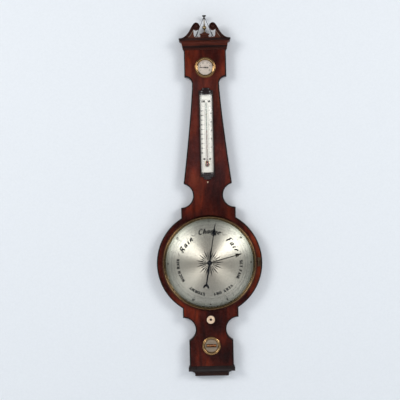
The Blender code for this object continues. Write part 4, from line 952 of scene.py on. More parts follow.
# thin pale strip just inside each band: a painted highlight along the band's moulding
for side, sx in (("right", 1), ("left", -1)):
    s = Soup()
    line = []
    for i in range(30):
        t = 0.20 + 0.56 * i / 29
        x, z = bez(t, 8.9)
        if z > 654.5:
            line.append((sx * x, -38.9, z))
    s.tube(line, 0.85, 8)
    s.make(f"pediment_line_{side}", M_HIGHLIGHT_LINE, slot="mahogany")


def ped_half(d=0.0):
    edge = [bez(1 - i / 40, 1.0 + d) for i in range(1, 41)]
    edge = [p for p in edge if p[1] > 652.3 + d]
    scroll = arc(EYE[0], EYE[1], 10.3 - d, 90, 330, 36)[1:]
    void = [(31.9 + d, 674.0), (31.6 + d, 671.0), (31.4 + d, 667.0), (31.3 + d, 664.0), (30.9 + d, 660.8), (30.0 + d * 0.8, 658.2), (28.6 + d * 0.5, 656.4), (26.6, 655.3 - d)]
    return [(72.5 - 2 * d, 652.2)] + edge + scroll + void


s = Soup()
rows = [(0.0, -28.2), (0.0, -37.6), (0.35, -38.0)]
loops = []
for d, y in rows:
    hh = ped_half(d)
    loops.append((hh + [(-x, z) for x, z in reversed(hh)], y))
while len({len(l) for l, _ in loops}) > 1:
    loops = [(loops[0][0], y) for _, y in loops]
k_ = len(loops[0][0])
s.add([(x, y, z) for loop, y in loops for x, z in loop],
      [(i * k_ + a, i * k_ + (a + 1) % k_, (i + 1) * k_ + (a + 1) % k_, (i + 1) * k_ + a) for i in range(len(loops) - 1) for a in range(k_)])
for loop, y in (loops[0], loops[-1]):
    s.add([(x, y, z) for x, z in loop], triangulate([loop]))
s.make("tympanum", M_SIDE, slot="mahogany", replaces=("pediment_board",), angle=10)

# --- finial plinth with moulded cap
s = Soup()
secs = [(12.4, 7.0, 655.6), (12.4, 7.0, 656.6), (11.9, 6.5, 656.9), (11.9, 6.5, 660.6), (12.4, 7.0, 661.0), (12.9, 7.5, 661.6), (13.6, 8.1, 662.1), (13.9, 8.25, 662.5),
        (13.9, 8.25, 664.0), (13.5, 7.9, 664.4), (11.0, 6.6, 664.7), (8.6, 5.0, 665.5), (6.6, 4.0, 666.5), (5.2, 3.6, 667.6), (4.2, 3.4, 668.6)]
verts, faces = [], []
for hx, hy, z in secs:
    verts += [(-hx, -36 - hy, z), (hx, -36 - hy, z), (hx, -36 + min(hy, 7.0), z), (-hx, -36 + min(hy, 7.0), z)]
for i in range(len(secs) - 1):
    for k in range(4):
        k2 = (k + 1) % 4
        faces.append((4 * i + k, 4 * i + k2, 4 * i + 4 + k2, 4 * i + 4 + k))
faces += [(3, 2, 1, 0), tuple(4 * (len(secs) - 1) + k for k in range(4))]
s.add(verts, faces)
s.make("plinth", M_DARK, slot="mahogany", replaces=("finial_plinth",), angle=25)

fin = [(0, 668.9), (3.3, 668.9), (3.6, 669.2), (3.5, 669.8), (2.4, 670.3), (1.75, 671.2), (1.45, 672.4), (1.5, 673.6), (1.9, 674.5), (2.7, 675.0), (2.95, 675.5), (2.7, 676.0), (2.0, 676.6)]
fin += [(5.95 * math.sin(math.radians(a)), 682.6 - 5.95 * math.cos(math.radians(a))) for a in range(24, 160, 8)]
fin += [(2.0, 688.6), (1.9, 689.1), (2.5, 689.5), (2.7, 690.0), (2.5, 690.5), (1.7, 690.9), (1.25, 691.8), (1.05, 696.0), (0.85, 701.0), (0.7, 705.6), (0.45, 706.5), (0, 706.95)]
solid_lathe("finial_ball", fin, (0, -36.0, 0), 40, M_BRASS, axis="Z", closed=False, slot="brass", replaces=("finial",))

# =================================================================== main bezel, glass
bz = [(127.4, -32.1), (139.0, -32.1), (139.0, -34.2)] + bead(137.5, -35.4, 1.3, 0, -70, 5) \
    + [(137.2, -37.4), (136.5, -38.6), (135.9, -39.1), (135.6, -39.9)] + bead(133.2, -40.7, 2.2, 10, -170, 14) \
    + [(130.6, -40.6), (130.2, -40.9)] + bead(129.4, -41.6, 0.9, 20, -160, 7) + [(128.45, -41.4), (128.45, -39.0), (127.6, -38.9), (127.25, -38.5), (127.1, -37.6), (127.1, -32.3)]
ring_seg = 160
solid_lathe("bezel_ring", bz, (0, 0, 0), ring_seg, M_BEZEL, "main_bezel", slot="brass", replaces=("main_bezel",), angle=50)
s = Soup()
ax, ay = 141.4, -34.4
for z0, z1 in ((-13.0, -5.0), (5.0, 13.0)):
    s.lathe([(0.8, z0), (1.8, z0), (2.0, z0 + 0.25), (2.0, z1 - 0.25), (1.8, z1), (0.8, z1)], (ax, ay, 0), 20, "Z", True)
    s.prism([[(138.2, z0 + 0.3), (ax - 1.3, z0 + 0.3), (ax - 1.3, z1 - 0.3), (138.2, z1 - 0.3)]], ay - 1.0, ay + 1.0)
s.make("bezel_knuckles", M_BRASS_DARK, "main_bezel", slot="brass")


def dome(r_edge, y_edge, sag, n):
    rr = (r_edge ** 2 + sag ** 2) / (2 * sag)
    return [(r_edge * (1 - i / n), y_edge - (math.sqrt(rr * rr - (r_edge * (1 - i / n)) ** 2) - (rr - sag))) for i in range(n + 1)]


s = Soup()
s.lathe(list(reversed(dome(128.0, -41.2, 6.5, 24))) + dome(128.0, -39.3, 6.5, 24), (0, 0, 0), 96, "Y", False)
s.make("dial_glass", M_GLASS, "main_bezel", slot="glass", replaces=("main_glass",))

# =================================================================== dial plate, engraving and lettering
s = Soup()
rims = [(127.0, -30.3), (127.0, -31.6), (126.8, -31.8)]
seg = 160
s.lathe([(2.6, -30.3), (127.0, -30.3), (127.0, -31.55), (126.75, -31.8), (110, -31.8), (80, -31.8), (50, -31.8), (20, -31.8), (2.6, -31.8)], (0, 0, 0), seg, "Y", True)
s.make("dial", M_DIAL, slot="silvered_brass", replaces=("dial_plate",))


def E(cx, cy, rx, ry, a0, a1, k=10):
    return [(cx + rx * math.cos(math.radians(a0 + (a1 - a0) * i / k)), cy + ry * math.sin(math.radians(a0 + (a1 - a0) * i / k))) for i in range(k + 1)]


# Letters of the builder's own design, cap height 1. Each stroke is (weight, points); weight 0 is thin, 1 thick, 2 by direction.
GLYPH = {
    "A": (0.74, [(0, [(0.02, 0), (0.37, 1)]), (1, [(0.37, 1), (0.70, 0)]), (0, [(0.14, 0.34), (0.58, 0.34)]), (0, [(-0.06, 0), (0.14, 0)]), (0, [(0.58, 0), (0.82, 0)])]),
    "C": (0.74, [(2, E(0.40, 0.5, 0.37, 0.5, 48, 312, 16)), (0, [(0.66, 0.66), (0.66, 0.94)])]),
    "D": (0.80, [(1, [(0.10, 0), (0.10, 1)]), (0, [(0, 1), (0.36, 1)]), (0, [(0, 0), (0.36, 0)]), (2, E(0.34, 0.5, 0.40, 0.5, 90, -90, 14))]),
    "E": (0.66, [(1, [(0.10, 0), (0.10, 1)]), (0, [(0, 1), (0.60, 1), (0.60, 0.82)]), (0, [(0, 0), (0.62, 0), (0.62, 0.2)]), (0, [(0.10, 0.52), (0.42, 0.52)])]),
    "F": (0.62, [(1, [(0.10, 0), (0.10, 1)]), (0, [(0, 1), (0.60, 1), (0.60, 0.80)]), (0, [(0.10, 0.52), (0.42, 0.52)]), (0, [(0, 0), (0.22, 0)])]),
    "H": (0.84, [(1, [(0.12, 0), (0.12, 1)]), (1, [(0.70, 0), (0.70, 1)]), (0, [(0.12, 0.52), (0.70, 0.52)]), (0, [(0, 0), (0.24, 0)]), (0, [(0.58, 0), (0.82, 0)]), (0, [(0, 1), (0.24, 1)]), (0, [(0.58, 1), (0.82, 1)])]),
    "I": (0.28, [(1, [(0.13, 0), (0.13, 1)]), (0, [(0, 0), (0.26, 0)]), (0, [(0, 1), (0.26, 1)])]),
    "M": (1.00, [(0, [(0.12, 0), (0.12, 1)]), (1, [(0.12, 1), (0.48, 0.05)]), (0, [(0.48, 0.05), (0.84, 1)]), (1, [(0.84, 1), (0.84, 0)]), (0, [(0.0, 0), (0.24, 0)]), (0, [(0.72, 0), (0.96, 0)]), (0, [(0.0, 1), (0.14, 1)]), (0, [(0.84, 1), (0.96, 1)])]),
    "N": (0.86, [(0, [(0.12, 0), (0.12, 1)]), (1, [(0.12, 1), (0.72, 0)]), (0, [(0.72, 0), (0.72, 1)]), (0, [(0.0, 0), (0.24, 0)]), (0, [(0.60, 1), (0.84, 1)]), (0, [(0.0, 1), (0.14, 1)])]),
    "O": (0.84, [(2, E(0.42, 0.5, 0.38, 0.5, 0, 360, 22))]),
    "R": (0.78, [(1, [(0.10, 0), (0.10, 1)]), (0, [(0, 1), (0.36, 1)]), (2, E(0.34, 0.76, 0.27, 0.24, 90, -90, 10)), (0, [(0.10, 0.52), (0.36, 0.52)]), (1, [(0.36, 0.52), (0.70, 0.0)]), (0, [(0, 0), (0.22, 0)]), (0, [(0.62, 0), (0.80, 0)])]),
    "S": (0.58, [(2, E(0.28, 0.74, 0.22, 0.25, 35, 250, 10) + E(0.28, 0.26, 0.24, 0.26, 70, -145, 10)), (0, [(0.49, 0.74), (0.49, 0.98)]), (0, [(0.04, 0.02), (0.04, 0.28)])]),
    "T": (0.72, [(1, [(0.35, 0), (0.35, 1)]), (0, [(0.02, 0.80), (0.02, 1), (0.68, 1), (0.68, 0.80)]), (0, [(0.23, 0), (0.47, 0)])]),
    "U": (0.82, [(1, [(0.12, 1), (0.12, 0.36)]), (2, E(0.41, 0.34, 0.29, 0.34, 180, 360, 12)), (0, [(0.70, 0.34), (0.70, 1)]), (0, [(0, 1), (0.24, 1)]), (0, [(0.60, 1), (0.82, 1)])]),
    "V": (0.76, [(1, [(0.06, 1), (0.38, 0)]), (0, [(0.38, 0), (0.70, 1)]), (0, [(-0.04, 1), (0.18, 1)]), (0, [(0.60, 1), (0.80, 1)])]),
    "Y": (0.76, [(1, [(0.06, 1), (0.37, 0.48)]), (0, [(0.37, 0.48), (0.68, 1)]), (1, [(0.37, 0.48), (0.37, 0)]), (0, [(-0.04, 1), (0.18, 1)]), (0, [(0.58, 1), (0.80, 1)]), (0, [(0.25, 0), (0.49, 0)])]),
    "a": (0.56, [(2, E(0.24, 0.28, 0.21, 0.29, 20, 340, 14)), (1, [(0.44, 0.56), (0.42, 0.10), (0.50, 0.0), (0.60, 0.12)])]),
    "e": (0.48, [(2, [(0.04, 0.28), (0.30, 0.36)] + E(0.24, 0.30, 0.20, 0.29, 25, 330, 14))]),
    "g": (0.56, [(2, E(0.24, 0.28, 0.21, 0.29, 20, 340, 14)), (1, [(0.44, 0.56), (0.40, -0.26)]), (2, E(0.22, -0.26, 0.18, 0.20, 0, -170, 9))]),
    "h": (0.56, [(1, [(0.12, 1.0), (0.06, 0.0)]), (2, E(0.27, 0.34, 0.17, 0.23, 170, 0, 9)), (1, [(0.44, 0.34), (0.42, 0.06), (0.50, 0.0), (0.58, 0.1)])]),
    "i": (0.26, [(1, [(0.12, 0.56), (0.09, 0.10), (0.16, 0.0), (0.26, 0.12)]), (1, [(0.13, 0.76), (0.15, 0.84)])]),
    "n": (0.56, [(1, [(0.10, 0.56), (0.06, 0.0)]), (2, E(0.26, 0.34, 0.17, 0.22, 170, 0, 9)), (1, [(0.43, 0.34), (0.41, 0.06), (0.48, 0.0), (0.57, 0.1)])]),
    "r": (0.38, [(1, [(0.10, 0.56), (0.06, 0.0)]), (2, E(0.24, 0.36, 0.15, 0.20, 170, 40, 6)), (1, [(0.36, 0.50), (0.35, 0.43)])]),
    "0": (0.62, [(2, E(0.29, 0.5, 0.25, 0.5, 0, 360, 20))]),
    "1": (0.40, [(1, [(0.20, 0), (0.20, 1)]), (0, [(0.20, 1), (0.06, 0.84)]), (0, [(0.08, 0), (0.32, 0)])]),
    "2": (0.58, [(2, E(0.27, 0.74, 0.22, 0.26, 160, -35, 10) + [(0.06, 0.04)]), (1, [(0.06, 0.04), (0.50, 0.04)]), (0, [(0.50, 0.04), (0.54, 0.22)])]),
    "3": (0.56, [(2, E(0.26, 0.76, 0.20, 0.24, 150, -80, 9)), (2, E(0.26, 0.27, 0.23, 0.27, 85, -150, 10))]),
    "4": (0.60, [(0, [(0.38, 1), (0.02, 0.28), (0.56, 0.28)]), (1, [(0.40, 1), (0.40, 0)])]),
    "5": (0.56, [(0, [(0.12, 0.98), (0.46, 0.98)]), (0, [(0.12, 0.98), (0.10, 0.56)]), (2, E(0.25, 0.32, 0.24, 0.31, 125, -150, 12))]),
    "6": (0.58, [(2, E(0.28, 0.30, 0.23, 0.30, 0, 360, 16)), (2, [(0.05, 0.32), (0.12, 0.74), (0.42, 1.0)])]),
    "7": (0.54, [(0, [(0.04, 0.96), (0.50, 0.96)]), (1, [(0.50, 0.96), (0.22, 0.0)])]),
    "8": (0.58, [(2, E(0.28, 0.75, 0.19, 0.24, 0, 360, 14)), (2, E(0.28, 0.27, 0.23, 0.27, 0, 360, 14))]),
    "9": (0.58, [(2, E(0.28, 0.70, 0.23, 0.30, 0, 360, 16)), (2, [(0.51, 0.68), (0.44, 0.26), (0.14, 0.0)])]),
    " ": (0.40, []),
}


def ribbon(pts, weight, h, thin, thick):
    """The outline of one pen stroke, (x, y) in mm."""
    q = [Vector((x * h, y * h)) for x, y in pts]
    left, right = [], []
    for i, p in enumerate(q):
        d = q[min(i + 1, len(q) - 1)] - q[max(i - 1, 0)]
        if d.length < 1e-9:
            d = Vector((1, 0))
        d.normalize()
        w = thin if weight == 0 else thick if weight == 1 else thin + (thick - thin) * abs(d.y) ** 1.4
        nn = Vector((-d.y, d.x)) * (w / 2)
        left.append(p + nn)
        right.append(p - nn)
    return left, right


def lay_text(s, text, h, place, thin=0.14, thick=0.34, slant=0.0, spacing=0.20, y0=-31.88, y1=-31.79, centre=True):
    """Lays a word; place(u, v) turns its own millimetres into (x, z) on the plate."""
    widths = [GLYPH[c][0] for c in text]
    total = sum(widths) + spacing * (len(text) - 1)
    at = -total / 2 if centre else 0.0
    for c, w in zip(text, widths):
        mid = (at + w / 2) * h
        for weight, pts in GLYPH[c][1]:
            left, right = ribbon(pts, weight, h, thin * h, thick * h)
            k = len(left)
            loop = []
            for p in left + right[::-1]:
                loop.append(place(at * h + p.x + slant * p.y, p.y, mid))
            verts = [(x, y0, z) for x, z in loop] + [(x, y1, z) for x, z in loop]
            m_ = len(loop)
            faces = []
            for i in range(k - 1):
                faces.append((i, i + 1, m_ - 2 - i, m_ - 1 - i))
                faces.append((m_ + i, m_ + m_ - 1 - i, m_ + m_ - 2 - i, m_ + i + 1))
            for i in range(m_):
                faces.append((i, (i + 1) % m_, m_ + (i + 1) % m_, m_ + i))
            s.add(verts, faces)
        at += w + spacing


def on_arc(cx, cz, r, deg):
    """Places text with its middle at a clockwise angle from the top, its feet towards the centre."""
    def place(u, v, mid):
        a = math.radians(90 - deg) - mid / r
        ex, ez = math.cos(a), math.sin(a)
        tx, tz = math.sin(a), -math.cos(a)
        du = u - mid
        return (cx + (r + v) * ex + du * tx, cz + (r + v) * ez + du * tz)
    return place


def flat_at(x0, z0):
    return lambda u, v, mid: (x0 + u, z0 + v)


def radial_mark(s, cx, cz, r0, r1, deg, w, y0=-31.88, y1=-31.79, w1=None):
    a = math.radians(90 - deg)
    e, t = (math.cos(a), math.sin(a)), (-math.sin(a), math.cos(a))
    w1 = w if w1 is None else w1
    loop = [(cx + r0 * e[0] - t[0] * w / 2, cz + r0 * e[1] - t[1] * w / 2), (cx + r0 * e[0] + t[0] * w / 2, cz + r0 * e[1] + t[1] * w / 2),
            (cx + r1 * e[0] + t[0] * w1 / 2, cz + r1 * e[1] + t[1] * w1 / 2), (cx + r1 * e[0] - t[0] * w1 / 2, cz + r1 * e[1] - t[1] * w1 / 2)]
    s.prism([loop], y0, y1)


def ring_line(s, cx, cz, r, w, a0=0.0, a1=360.0, y0=-31.88, y1=-31.79, seg=None):
    seg = seg or max(24, int(abs(a1 - a0) / 2.5))
    s.lathe([(r - w / 2, y1), (r + w / 2, y1), (r + w / 2, y0), (r - w / 2, y0)], (cx, 0, cz), seg, "Y", True, a0, a1)


# --- divisions: inches and hundredths, 103.3 degrees to the inch
s = Soup()
ring_line(s, 0, 0, 122.6, 0.35)
ring_line(s, 0, 0, 112.6, 0.28, 90 - 158, 90 + 158)
ring_line(s, 0, 0, 109.9, 0.28, 90 - 158, 90 + 158)
ring_line(s, 0, 0, 103.6, 0.35)
for i in range(0, 301, 2):
    deg = -155 + 310 * i / 300
    r0 = 109.9
    if i % 10 == 0:
        radial_mark(s, 0, 0, 106.4, 112.6, deg, 0.50)
    elif i % 5 == 0:
        radial_mark(s, 0, 0, 108.4, 112.6, deg, 0.34)
    else:
        radial_mark(s, 0, 0, r0, 112.6, deg, 0.26)
for i in range(4):
    radial_mark(s, 0, 0, 104.2, 112.6, -155 + 310 * i / 3, 0.8)
s.make("dial_divisions", M_WAX, slot="silvered_brass")

s = Soup()
for i, label in enumerate(("28", "29", "30", "31")):
    lay_text(s, label, 5.4, on_arc(0, 0, 114.6, -155 + 310 * i / 3))
for i in range(1, 30):
    if i % 10:
        lay_text(s, str(i % 10), 2.6, on_arc(0, 0, 114.4, -155 + 310 * i / 30), thin=0.12, thick=0.26)
s.make("dial_numbers", M_WAX, slot="silvered_brass")

s = Soup()
for text, deg in (("STORMY", -155), ("MUCH RAIN", -103.3), ("SET FAIR", 103.3), ("VERY DRY", 155)):
    lay_text(s, text, 7.2, on_arc(0, 0, 88.2, deg), thin=0.20, thick=0.46, spacing=0.34)
s.make("dial_words_small", M_WAX, slot="silvered_brass")
s = Soup()
for text, deg in (("Rain", -51.7), ("Change", 0), ("Fair", 51.7)):
    lay_text(s, text, 14.2, on_arc(0, 0, 86.5 if deg == 0 else 81.5, deg), thin=0.12, thick=0.29, slant=0.42, spacing=0.16 if deg == 0 else 0.36)
s.make("dial_words_script", M_WAX, slot="silvered_brass")

# --- flourishes either side of the script words, and rules of dots
s = Soup()
for deg in (-51.7, 51.7, 0):
    half = 27 if deg else 33
    for sgn in (-1, 1):
        pts = []
        for i in range(17):
            t = i / 16
            a = deg + sgn * (half * 0.62 + 9.5 * t)
            r = 92.5 + 3.2 * math.sin(2 * math.pi * t) * (1 - t * 0.5)
            pts.append((r * math.sin(math.radians(a)), r * math.cos(math.radians(a))))
        left, right = [], []
        for i, p in enumerate(pts):
            q0, q1 = Vector(pts[max(i - 1, 0)]), Vector(pts[min(i + 1, 16)])
            d = (q1 - q0).normalized()
            w = 0.15 + 0.65 * math.sin(math.pi * i / 16)
            left.append((p[0] - d.y * w / 2, p[1] + d.x * w / 2))
            right.append((p[0] + d.y * w / 2, p[1] - d.x * w / 2))
        s.prism([left + right[::-1]], -31.88, -31.79)
s.make("dial_flourish", M_WAX, slot="silvered_brass")

# --- engraved star round the centre
s = Soup()
for k in range(26):
    deg = 360 * k / 26 + 4.5
    far, knee, wide = (40.0, 24.0, 3.5) if k % 2 == 0 else (33.0, 21.0, 3.0)
    radial_mark(s, 0, 0, 11.0 if k % 2 == 0 else 12.5, knee, deg, 1.3, w1=wide)
    radial_mark(s, 0, 0, knee, far, deg, wide, w1=0.25)
ring_line(s, 0, 0, 11.8, 0.35, seg=64)
s.make("dial_star", M_WAX, slot="silvered_brass")

# --- dial screws: domed slotted heads
for k, where in enumerate(("top", "right", "bottom", "left")):
    a = math.radians(90 * k)
    cx, cz = 120.5 * math.sin(a), 120.5 * math.cos(a)
    s = Soup()
    s.lathe([(0, -33.28), (0.8, -33.24), (1.5, -33.10), (2.05, -32.86), (2.35, -32.5), (2.4, -32.1), (1.15, -32.1), (1.15, -28.6), (0, -28.3)], (cx, 0, cz), 24, "Y", False)
    s.make(f"screw_{where}", M_BRONZE, slot="brass", replaces=(f"dial_screw_{where}",))
    q = Soup()
    u, v = math.cos(a + 0.6), math.sin(a + 0.6)
    q.prism([[(cx - 1.9 * u + 0.22 * v, cz - 1.9 * v - 0.22 * u), (cx + 1.9 * u + 0.22 * v, cz + 1.9 * v - 0.22 * u),
              (cx + 1.9 * u - 0.22 * v, cz + 1.9 * v + 0.22 * u), (cx - 1.9 * u - 0.22 * v, cz - 1.9 * v + 0.22 * u)]], -33.30, -32.7)
    q.make(f"screw_slot_{where}", M_WAX, slot="brass")


# =================================================================== hands
def turned(pts, clockwise_deg):
    a = math.radians(-clockwise_deg)
    return [(x * math.cos(a) - z * math.sin(a), x * math.sin(a) + z * math.cos(a)) for x, z in pts]


def mirrored(right):
    loop = right + [(-x, z) for x, z in reversed(right)]
    return [p for i, p in enumerate(loop) if math.hypot(p[0] - loop[i - 1][0], p[1] - loop[i - 1][1]) > 1e-3]


def blade(name, half, ridge, yb, yf, deg, hole, mat, body, centre=(0, 0), slot=None, replaces=()):
    """A hand with bevelled edges: the outline at the back, and a slightly smaller one at the front."""
    out = turned(mirrored(half), deg)
    k = len(out)
    inn = []
    for i in range(k):
        p0, p1, p2 = Vector(out[i - 1]), Vector(out[i]), Vector(out[(i + 1) % k])
        e1, e2 = (p1 - p0).normalized(), (p2 - p1).normalized()
        n1, n2 = Vector((-e1.y, e1.x)), Vector((-e2.y, e2.x))
        mm = n1 + n2
        mm = mm.normalized() if mm.length > 1e-6 else n1
        inn.append(p1 + mm * min(ridge / max(mm.dot(n1), 0.4), ridge * 1.6))
    area = sum(out[i][0] * out[(i + 1) % k][1] - out[(i + 1) % k][0] * out[i][1] for i in range(k))
    if area < 0:
        inn = [Vector(o) * 2 - i_ for o, i_ in zip(out, inn)]
    cx, cz = centre
    h = circle(cx, cz, hole, 20)
    out = [(x + cx, z + cz) for x, z in out]
    inn = [(p.x + cx, p.y + cz) for p in inn]
    s = Soup()
    mid = yf + (yb - yf) * 0.35
    verts = [(x, yb, z) for x, z in out] + [(x, mid, z) for x, z in out] + [(x, yf, z) for x, z in inn]
    faces = []
    for r in range(2):
        for i in range(k):
            faces.append((r * k + i, r * k + (i + 1) % k, (r + 1) * k + (i + 1) % k, (r + 1) * k + i))
    s.add(verts, faces)
    s.add([(x, yb, z) for x, z in out + h], triangulate([out, h]))
    s.add([(x, yf, z) for x, z in inn + h], triangulate([inn, h]))
    s.add([(x, yb, z) for x, z in h] + [(x, yf, z) for x, z in h], [(i, (i + 1) % 20, 20 + (i + 1) % 20, 20 + i) for i in range(20)])
    return s.make(name, mat, body, slot=slot, replaces=replaces, angle=25)


hub = arc(0, 0, 7.0, -76, 76, 20)
press = [(0.0, -68.6), (1.6, -69.2), (3.4, -70.9), (5.2, -73.4), (6.6, -74.4), (8.0, -73.8), (8.7, -71.8), (8.4, -69.2), (7.0, -66.9), (5.2, -65.0), (3.6, -63.6), (2.4, -62.0), (1.8, -60.0), (2.1, -48.0), (3.0, -34.0), (3.4, -20.0), (2.7, -12.0), (1.8, -6.8)] + hub + [(1.3, 6.9), (1.15, 20.0), (1.0, 40.0), (0.8, 84.0), (1.8, 83.9), (3.0, 83.2), (4.8, 81.8), (6.4, 80.0),
         (6.0, 82.6), (5.3, 85.2), (4.2, 88.2), (3.1, 92.4), (2.0, 97.6), (1.2, 101.0), (0.8, 103.5), (0.45, 114.5)]
press = [(x * (1.0 if z < 7.2 else 1.35), z) for x, z in press]
press = [(2.0 if abs(z + 34) < 1 else 2.2 if abs(z + 20) < 1 else x, z) for x, z in press]
blade("pressure_pointer", press, 0.30, -37.15, -38.05, 9.3, 1.5, M_BLUED, "pointer", slot="blued_steel", replaces=("pressure_hand",))
solid_lathe("pointer_boss", [(1.35, -38.1), (4.6, -38.1), (4.8, -38.5), (4.2, -38.9), (3.2, -39.0), (2.6, -39.15), (1.9, -39.3), (1.35, -39.3)], (0, 0, 0), 36, M_BLUED, "pointer", slot="blued_steel")
seth = [(0.0, -17.0), (0.9, -16.8), (1.5, -16.2), (1.8, -15.2), (1.7, -14.0), (1.3, -12.6), (1.0, -11.0), (1.0, -9.0), (1.1, -5.8)] + arc(0, 0, 5.6, -76, 76, 20) \
    + [(1.5, 5.4), (1.45, 20.0), (1.3, 40.0), (1.1, 80.0), (2.4, 79.2), (4.0, 78.0), (5.4, 77.2), (6.0, 78.4), (5.2, 81.2), (4.1, 84.4), (2.9, 87.6), (1.6, 91.0), (0.5, 97.5)]
blade("set_pointer_hand", seth, 0.25, -34.35, -35.15, 75.2, 2.8, M_BRONZE, "set_pointer", slot="brass", replaces=("set_hand",))
hyg = [(0.0, -9.0), (1.1, -8.8), (1.6, -8.2), (1.9, -7.4), (1.8, -6.4), (1.2, -5.6), (0.7, -5.2), (0.55, -2.0)] + arc(0, 0, 2.2, -70, 70, 12) + [(0.5, 2.2), (0.45, 11.0), (1.0, 11.0), (1.7, 11.4), (1.1, 13.2), (0.6, 15.0), (0.25, 17.5)]
blade("hygrometer_pointer_hand", hyg, 0.10, -31.12, -31.58, -88, 0.75, M_BLUED, "hygrometer_pointer", centre=(0, Z_HY), slot="blued_steel", replaces=("hygrometer_hand",))

# =================================================================== setting knob
kp = [(2.1, -31.8), (7.6, -31.8), (8.6, -32.0), (9.6, -32.4), (10.6, -32.9), (11.3, -33.6), (11.75, -34.4), (11.9, -35.2), (11.7, -36.1), (11.2, -36.8), (10.4, -37.4), (9.4, -37.75), (8.8, -37.6), (8.3, -37.9), (7.2, -38.5),
      (6.2, -38.85), (5.4, -38.9), (4.7, -38.75), (4.2, -38.2), (3.9, -37.4), (3.7, -36.3), (2.1, -36.2)]
solid_lathe("knob", kp, (0, 0, Z_KN), 56, M_BONE, "setting_knob", slot="bone", replaces=("setting_knob",))
solid_lathe("knob_pin", [(0, -37.3), (1.4, -37.2), (2.5, -36.9), (3.2, -36.5), (3.5, -36.1), (3.5, -35.9), (2.0, -35.8), (2.0, -34.8), (0, -34.8)], (0, 0, Z_KN), 20, M_BLUED, "setting_knob", closed=False, slot="brass")

# =================================================================== hygrometer
hb = [(21.6, -31.8), (30.0, -31.8), (30.0, -32.6)] + bead(28.6, -33.9, 1.4, 0, -150, 10) + [(27.0, -34.6)] + bead(25.9, -35.6, 1.7, 20, -170, 10) + [(24.4, -35.9), (24.2, -34.8), (22.2, -34.4), (21.6, -33.8)]
solid_lathe("hygro_bezel", hb, (0, 0, Z_HY), 96, M_RING[0], slot="brass", replaces=("hygrometer_bezel",), angle=50)
s = Soup()
s.lathe([(0, -37.6)] + [(24.2 * math.sin(math.radians(a)) / math.sin(math.radians(60)), -36.0 - 1.6 * (1 - (math.sin(math.radians(a)) / math.sin(math.radians(60))) ** 2)) for a in range(5, 61, 5)]
        + [(24.2, -35.1)] + [(24.2 * math.sin(math.radians(a)) / math.sin(math.radians(60)), -35.1 - 1.1 * (1 - (math.sin(math.radians(a)) / math.sin(math.radians(60))) ** 2)) for a in range(55, 4, -5)]
        + [(0, -36.2)], (0, 0, Z_HY), 64, "Y", False)
s.make("hygro_glass", M_GLASS, slot="glass", replaces=("hygrometer_glass",))
solid_lathe("hygro_dial", [(1.4, -28.4), (23.2, -28.4), (23.2, -29.3), (23.1, -29.4), (12, -29.4), (1.4, -29.4)], (0, 0, Z_HY), 72, M_SMALL, slot="silvered_brass", replaces=("hygrometer_dial",))
s = Soup()
ring_line(s, 0, Z_HY, 20.6, 0.22, y0=-29.47, y1=-29.39, seg=72)
ring_line(s, 0, Z_HY, 17.6, 0.18, -30, 210, y0=-29.47, y1=-29.39)
for i in range(0, 101, 5):
    radial_mark(s, 0, Z_HY, 17.6 if i % 10 else 16.4, 20.6, -120 + 240 * i / 100, 0.22 if i % 10 else 0.36, -29.47, -29.39)
for i in range(0, 101, 20):
    lay_text(s, str(i), 2.5, on_arc(0, Z_HY, 13.2, -120 + 240 * i / 100), thin=0.14, thick=0.28, y0=-29.47, y1=-29.39)
for k in range(8):
    radial_mark(s, 0, Z_HY, 3.4, 7.6, 45 * k + 22.5, 0.6, -29.47, -29.39, w1=0.12)
s.make("hygro_marks", M_WAX, slot="silvered_brass")

# =================================================================== thermometer box
TH_X = 21.0


def frame_box():
    s = Soup()
    outer = [(-TH_X, 250), (TH_X, 250), (TH_X, 501), (-TH_X, 501)]
    inner = [(-18.4, 262.2), (18.4, 262.2), (18.4, 488.8), (-18.4, 488.8)]
    rows = [(outer, -31.8), (outer, -35.5), ([(x - math.copysign(0.5, x), z) for x, z in outer], -36.0), ([(x + math.copysign(0.4, x), z) for x, z in inner], -36.0), (inner, -35.6), (inner, -31.8)]
    verts, faces = [], []
    for loop, y in rows:
        verts += [(x, y, z) for x, z in loop]
    for i in range(len(rows)):
        j = (i + 1) % len(rows)
        for k in range(4):
            k2 = (k + 1) % 4
            faces.append((4 * i + k, 4 * i + k2, 4 * j + k2, 4 * j + k))
    s.add(verts, faces)
    return s


s = frame_box()


def bowed(s, stack):
    """Half-round blocks stacked in height: rows of (half width, front rise, z)."""
    nn = 20
    verts, faces = [], []
    for hx, rise, z in stack:
        for i in range(nn + 1):
            a = math.pi * i / nn
            verts.append((hx * math.cos(a), -31.9 - rise * math.sin(a) ** 0.75, z))
    w = nn + 1
    for r in range(len(stack) - 1):
        for i in range(w):
            i2 = (i + 1) % w
            faces.append((r * w + i, r * w + i2, (r + 1) * w + i2, (r + 1) * w + i))
    faces.append(tuple(range(w)))
    faces.append(tuple((len(stack) - 1) * w + i for i in reversed(range(w))))
    s.add(verts, faces)


up = [(20.6, 11.2, 488.4), (20.6, 11.2, 489.6), (20.2, 10.9, 490.2), (20.2, 10.9, 491.0), (20.6, 11.2, 491.6), (20.4, 11.0, 493.4), (19.2, 10.2, 495.2), (18.0, 9.0, 496.0), (17.6, 8.6, 497.0), (17.9, 8.8, 497.8),
      (17.4, 8.4, 499.4), (15.6, 7.4, 501.4), (13.0, 6.4, 502.8), (12.0, 5.6, 503.6), (11.8, 5.2, 504.4), (11.9, 5.2, 505.4), (11.0, 4.8, 507.0), (9.0, 3.6, 508.4), (6.0, 2.0, 509.0)]
bowed(s, up)
bowed(s, [(hx, rise, 751.0 - z) for hx, rise, z in up])
s.make("thermometer_case", M_POLISHED, slot="ebonised", replaces=("thermometer_frame",), angle=40)

